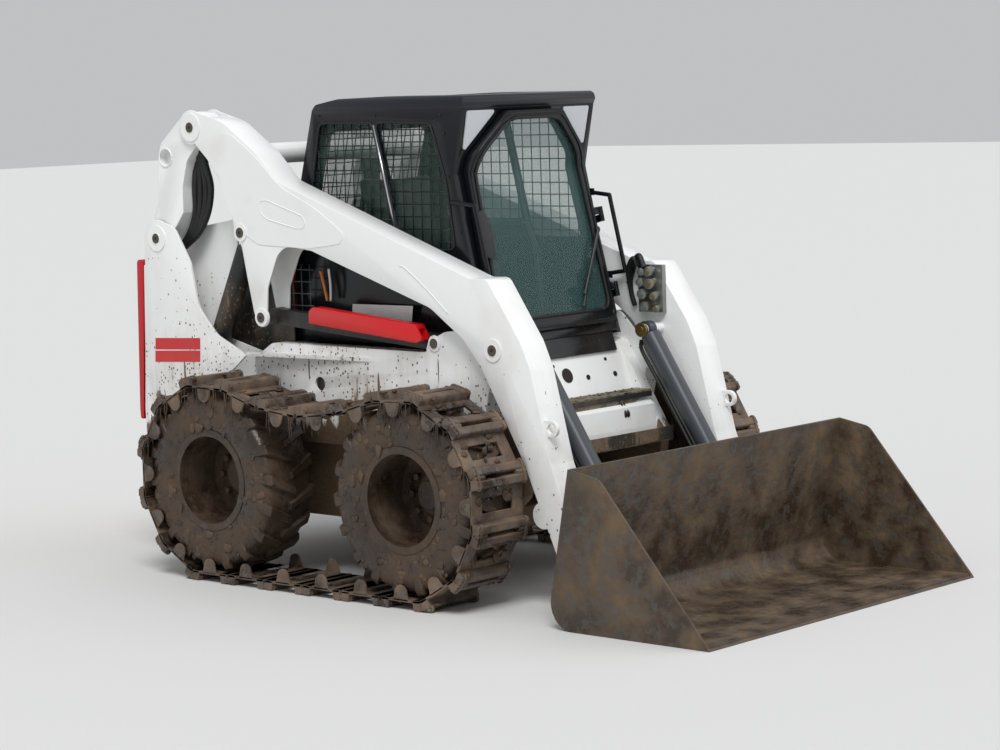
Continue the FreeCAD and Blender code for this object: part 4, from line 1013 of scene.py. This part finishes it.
feed = [hose([(1400, 462 - d, 1352), (1385, 452 - d, 1390), (1340, 470 - d, 1330), (1330, 478, 1240),
              (1350, 478, 1170)], 0.011) for d in (0, 22)]
feed.append(hose([(1440, 440, 1345), (1405, 448, 1400), (1350, 474, 1350), (1318, 480, 1270)], 0.014))
mesh_object("coupler_hoses", feed, hose_black, "lift_arms", smooth=True)
CABLES = [("bay_cable_orange", [(297, 484, 1373), (318, 486, 1310), (334, 484, 1238)], 0.007, cable_orange),
          ("bay_cable_white", [(350, 484, 1385), (360, 486, 1310), (356, 484, 1239)], 0.006, cable_white)]
for name, rows, radius, material in CABLES:
    mesh_object(name, [mirrored(hose(rows, radius))], material, "machine", smooth=True)
print("hoses", 2 * len(bundle) + len(feed), "and cables", len(CABLES))

# %% [markdown]
# ## Couplers on the left arm
# The auxiliary couplers are turned steel in silver and yellow zinc plate: each has a collar, a hexagon and
# a poppet in its mouth. Their axes are those of the CAD couplers.

# %% Collars and caps
COUPLERS = [(1412, 1336, 15, 50), (1462, 1338, 19, 62), (1410, 1290, 17, 58), (1466, 1284, 22, 62),
            (1420, 1236, 21, 58), (1484, 1228, 17, 52), (1436, 1180, 20, 62), (1492, 1170, 14, 44)]
silver, golden = [], []
for i, (x, z, r, reach) in enumerate(COUPLERS):
    axis = np.array([22.0, -reach, -8.0])
    tip = np.array([x, 470.0, z]) + axis
    axis /= np.linalg.norm(axis)
    silver.append(prism(at(tip - axis * 12), axis, (r + 2.5) / 1000, 0.009, 20))
    (silver if i % 3 else golden).append(prism(at(tip - axis * 34), axis, (r + 3.5) / 1000, 0.014, 6))
    (golden if i % 2 else silver).append(prism(at(tip - axis * 1), axis, r * 0.55 / 1000, 0.006, 12))
mesh_object("coupler_collars", silver, zinc, "lift_arms", edge=0.0015)
mesh_object("coupler_caps", golden, brass, "lift_arms", edge=0.0015)

# %% [markdown]
# ## Entry: sill, steps and panel
# Below the door lies a black sill plate. The two steps have rows of low teeth and a folded black lip in
# front. Below the upper one a grey apron tapers towards the left arm, three brackets stiffen it, and a hook
# for towing hangs there. The white panel has a round hole with a dark grommet, and four small plugs. The
# solid has that hole farther to the right, so a white plate closes it there.

# %% Sill, lips and brackets
sill = plate([(1262, 1103), (1291, 1046), (1314, 976), (1308, 972), (1285, 1042), (1256, 1098)], -388, 388)
mesh_object("door_sill", [sill], cab_black, "machine", edge=0.002)
lips = [plate([(1470, 792), (1476, 792), (1476, 768), (1470, 768)], -302, 430),
        plate([(1590, 640), (1596, 640), (1596, 582), (1590, 582)], -430, 430)]
mesh_object("step_lips", lips, frame_black, "machine", edge=0.0015)
brackets = [plate([(1382, 772), (1461, 772), (1440, 730), (1400, 742)], y, y + 8) for y in (-260, 60, 240)]
apron = np.array([[(x, -302, 792), (x, 430, 792), (x, 262, 728), (x, -302, 728)] for x in (1461.0, 1469.0)])
mesh_object("step_brackets", brackets, panel_white, "machine", edge=0.0015)
mesh_object("step_apron", [skin(at(apron)[None])], step_steel, "machine", edge=0.0015)
hook = [hose([(1462, y, 752), (1478, y, 728), (1494, y, 706), (1478, y, 690), (1462, y, 704)], 0.009)
        for y in (218, 236)]
mesh_object("tow_hook", hook, dark_bolt, "machine", smooth=True)

# %% Plugs of the leaning panel, and the steps' teeth
PANEL_Z, PANEL_X = [776, 1011], [1376, 1286]
slope = np.array([PANEL_X[0] - PANEL_X[1], PANEL_Z[0] - PANEL_Z[1]], float)
slope /= np.linalg.norm(slope)


def on_panel(y, z, radius, height, sides=24):
    """A flat round piece on the panel, whose height decides how far forward it lies."""
    spot = at((np.interp(z, PANEL_Z, PANEL_X) - 1, y, z))
    return prism(spot, (-slope[1], 0, slope[0]), radius, height, sides)


plugs = [on_panel(y, z, r, 0.004)
         for y, z, r in ((148, 873, 0.012), (336, 871, 0.012), (-60, 940, 0.008), (300, 940, 0.008))]
mesh_object("panel_plugs", plugs + [on_panel(14, 893, 0.034, 0.003, 32)], dark_bolt, "machine")
mesh_object("panel_blank", [on_panel(-145, 885, 0.038, 0.003, 32)], panel_white, "machine", edge=0.001)
teeth = []
for x0, x1, z, right in ((1376.5, 1470, 800, -300), (1500.3, 1590, 600, -430)):
    tooth = [(x0 + 16, z), (x0 + 26, z + 7), (x0 + 36, z), (x1 - 36, z), (x1 - 26, z + 7), (x1 - 16, z)]
    teeth += [plate(tooth, y, y + 5) for y in np.arange(right + 15, 425, 60.0)]
mesh_object("step_teeth", teeth, step_steel, "machine")
print("plugs", len(plugs), "and rows of teeth", len(teeth))

# %% [markdown]
# ## Tailgate
# The photo doesn't show the rear side, so it follows the type: a plain tailgate with pressed louvres, which
# let the cooling air out, and a latch. Each louvre is one wedge that leans with the gate.

# %% Louvres and latch
def gate_x(z):
    """Where the outside of the leaning tailgate lies at height z."""
    return np.interp(z, [700, 1418], [-821, -796])


louvres = [plate([(gate_x(z) - 1, z - 11), (gate_x(z) - 9, z - 4), (gate_x(z) + 1, z + 10)], y, y + 280)
           for z in np.arange(840, 1240, 36.0) for y in (-470, -150, 170)]
mesh_object("tailgate_louvres", louvres, gate_red, "tailgate", edge=0.001)
latch = [(gate_x(720) - 8, 745), (gate_x(720) - 8, 800), (gate_x(780), 800), (gate_x(720), 745)]
mesh_object("tailgate_latch", [plate(latch, -45, 45)], plastic, "tailgate", edge=0.002)
print("louvres", len(louvres))

# %% [markdown]
# ## Cab fittings
# Small things that show up close: the screws of the cab's side and of the door's hinges, and a plug in each
# chain case. Only their heads are built, as plain prisms.

# %% Screws
SCREWS = [  # how far out of the cab's side, radius, height, sides, and the places (x, z)
    (-0.5, 0.008, 0.0035, 12, [(1076, 1800), (1138, 1560), (1190, 1330), (1058, 1990)]),
    (-0.5, 0.006, 0.003, 12, [(250, 2010), (285, 2075), (1040, 2070), (640, 2072), (160, 1600), (175, 1700),
                              (860, 1452), (300, 1530)]),
    (5.5, 0.006, 0.004, 6, [(1108, 1680), (1136, 1680), (1187, 1300), (1187, 1324)]),
]
screws = [stud(x, CAB_HALF + out, z, *size) for out, *size, places in SCREWS for x, z in places]
mesh_object("cab_screws", both(*screws), dark_bolt, "machine")
mesh_object("case_plugs", both(stud(330, 489.5, 905, 0.034, 0.0015, 28)), dark_bolt, "machine")

# %% [markdown]
# ## Seat
# The cushion and the back are foam under vinyl: the cover pulls the edges round and the foam pushes the
# middle out. That form is hard to draw and easy to simulate: the CAD block, remeshed finely, becomes cloth
# with a little pressure in it and no gravity. The swelling is then held inside the CAD block's own size,
# so that nothing in the cab touches it.

# %% Padded blocks
MARGIN, MOST_MOVE, INSIDE = 0.014, 0.020, 0.001  # metres: shrunk by, moved by at most, kept inside by
VOXEL, QUICK_VOXEL, CLOTH_FRAMES = 0.008, 0.012, 15


def pad(name):
    """A pillow in the space of a CAD block: shrunk, remeshed, blown up as cloth, then kept in the box."""
    data = nodes[name].data.copy()
    made = placed(name + "_pad", data)
    points = np.array([v.co for v in data.vertices])
    low, high = points.min(0), points.max(0)
    middle = (low + high) / 2
    scale = 1 - 2 * MARGIN / (high - low)
    data.vertices.foreach_set("co", (middle + (points - middle) * scale).ravel())
    bpy.context.view_layer.objects.active = made
    made.select_set(True)
    remesh = made.modifiers.new("grid", "REMESH")
    remesh.mode, remesh.voxel_size = "VOXEL", VOXEL
    bpy.ops.object.modifier_apply(modifier="grid")
    began = np.array([v.co for v in data.vertices])
    cloth = made.modifiers.new("cover", "CLOTH")
    cloth.settings.quality = 5
    cloth.settings.mass = 0.3
    cloth.settings.tension_stiffness = cloth.settings.compression_stiffness = 12
    cloth.settings.use_pressure = True
    cloth.settings.uniform_pressure_force = 4
    cloth.settings.effector_weights.gravity = 0
    for moment in range(1, CLOTH_FRAMES + 1):
        bpy.context.scene.frame_set(moment)
    bpy.ops.object.modifier_apply(modifier="cover")
    bpy.context.scene.frame_set(1)
    move = np.array([v.co for v in data.vertices]) - began
    length = np.linalg.norm(move, axis=1, keepdims=True)
    ended = began + move * np.minimum(1, MOST_MOVE / np.maximum(length, 1e-9))
    data.vertices.foreach_set("co", np.clip(ended, low + INSIDE, high - INSIDE).ravel())
    data.shade_smooth()
    made.select_set(False)
    wear(made, seat_vinyl)
    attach(made, carrier(name))
    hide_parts(name)
    print(name, "points", len(ended), "moved up to, in mm", round(1000 * float(length.max()), 1))


for name in ("seat_cushion", "seat_back"):
    pad(name)

# %% [markdown]
# ## Floor, light and camera
# The stage is plain: one pale floor, soft light from above, and the camera where the photographer stood.
# The camera's place and turn were found by fitting the machine's known sizes to the photo. A long lens,
# about 100 mm, explains how little the far side shrinks.

# %% Stage
ground = bpy.data.meshes.new("floor")
ground.from_pydata([(-60, -60, 0), (60, -60, 0), (60, 60, 0), (-60, 60, 0)], [], [[0, 1, 2, 3]])
floor = placed("floor", ground)
floor.location.z = cad_low.z - 0.0005
wear(floor, plain("pale_studio_floor", "#D9D9D7", 0.9))

world = bpy.data.worlds.new("studio")
bpy.context.scene.world = world
world.use_nodes = True
sky = world.node_tree.nodes["Background"]
sky.inputs["Color"].default_value = linear("#EDEFF2")
sky.inputs["Strength"].default_value = 0.62


def lamp(name, energy, direction, angle):
    """A far lamp that shines along a direction, soft by its angle in degrees."""
    data = bpy.data.lights.new(name, "SUN")
    data.energy = energy
    data.angle = math.radians(angle)
    made = placed(name, data)
    made.location = Vector(direction) * -9
    made.rotation_euler = Vector(direction).to_track_quat("-Z", "Y").to_euler()


lamp("soft_key", 1.9, (-0.45, 0.50, -0.90), 25)
lamp("soft_fill", 0.5, (-0.8, -0.6, -0.55), 60)

# %% Camera
CAMERA_AT = at((9345.9, -9280.8, 2211.8))
YAW, PITCH, ROLL = 0.736, -0.106, 0.032
FOCAL_PIXELS, IMAGE_WIDTH = 2769.7, 1000
axes = Matrix.Rotation(YAW, 3, "Z") @ Matrix.Rotation(PITCH, 3, "X") @ Matrix.Rotation(ROLL, 3, "Y")
right, forward, up = np.array(axes).T
view = bpy.data.cameras.new("camera")
view.sensor_width = 36.0
view.lens = FOCAL_PIXELS * view.sensor_width / IMAGE_WIDTH
view.clip_end = 200
camera = placed("camera", view)
turn = Matrix(np.stack([right, up, -forward], 1).tolist()).to_4x4()
camera.matrix_world = Matrix.Translation(Vector(CAMERA_AT)) @ turn
bpy.context.scene.camera = camera
bpy.context.scene.view_settings.view_transform = "Standard"
print("camera", [round(v, 2) for v in camera.location], "lens", round(view.lens, 1))
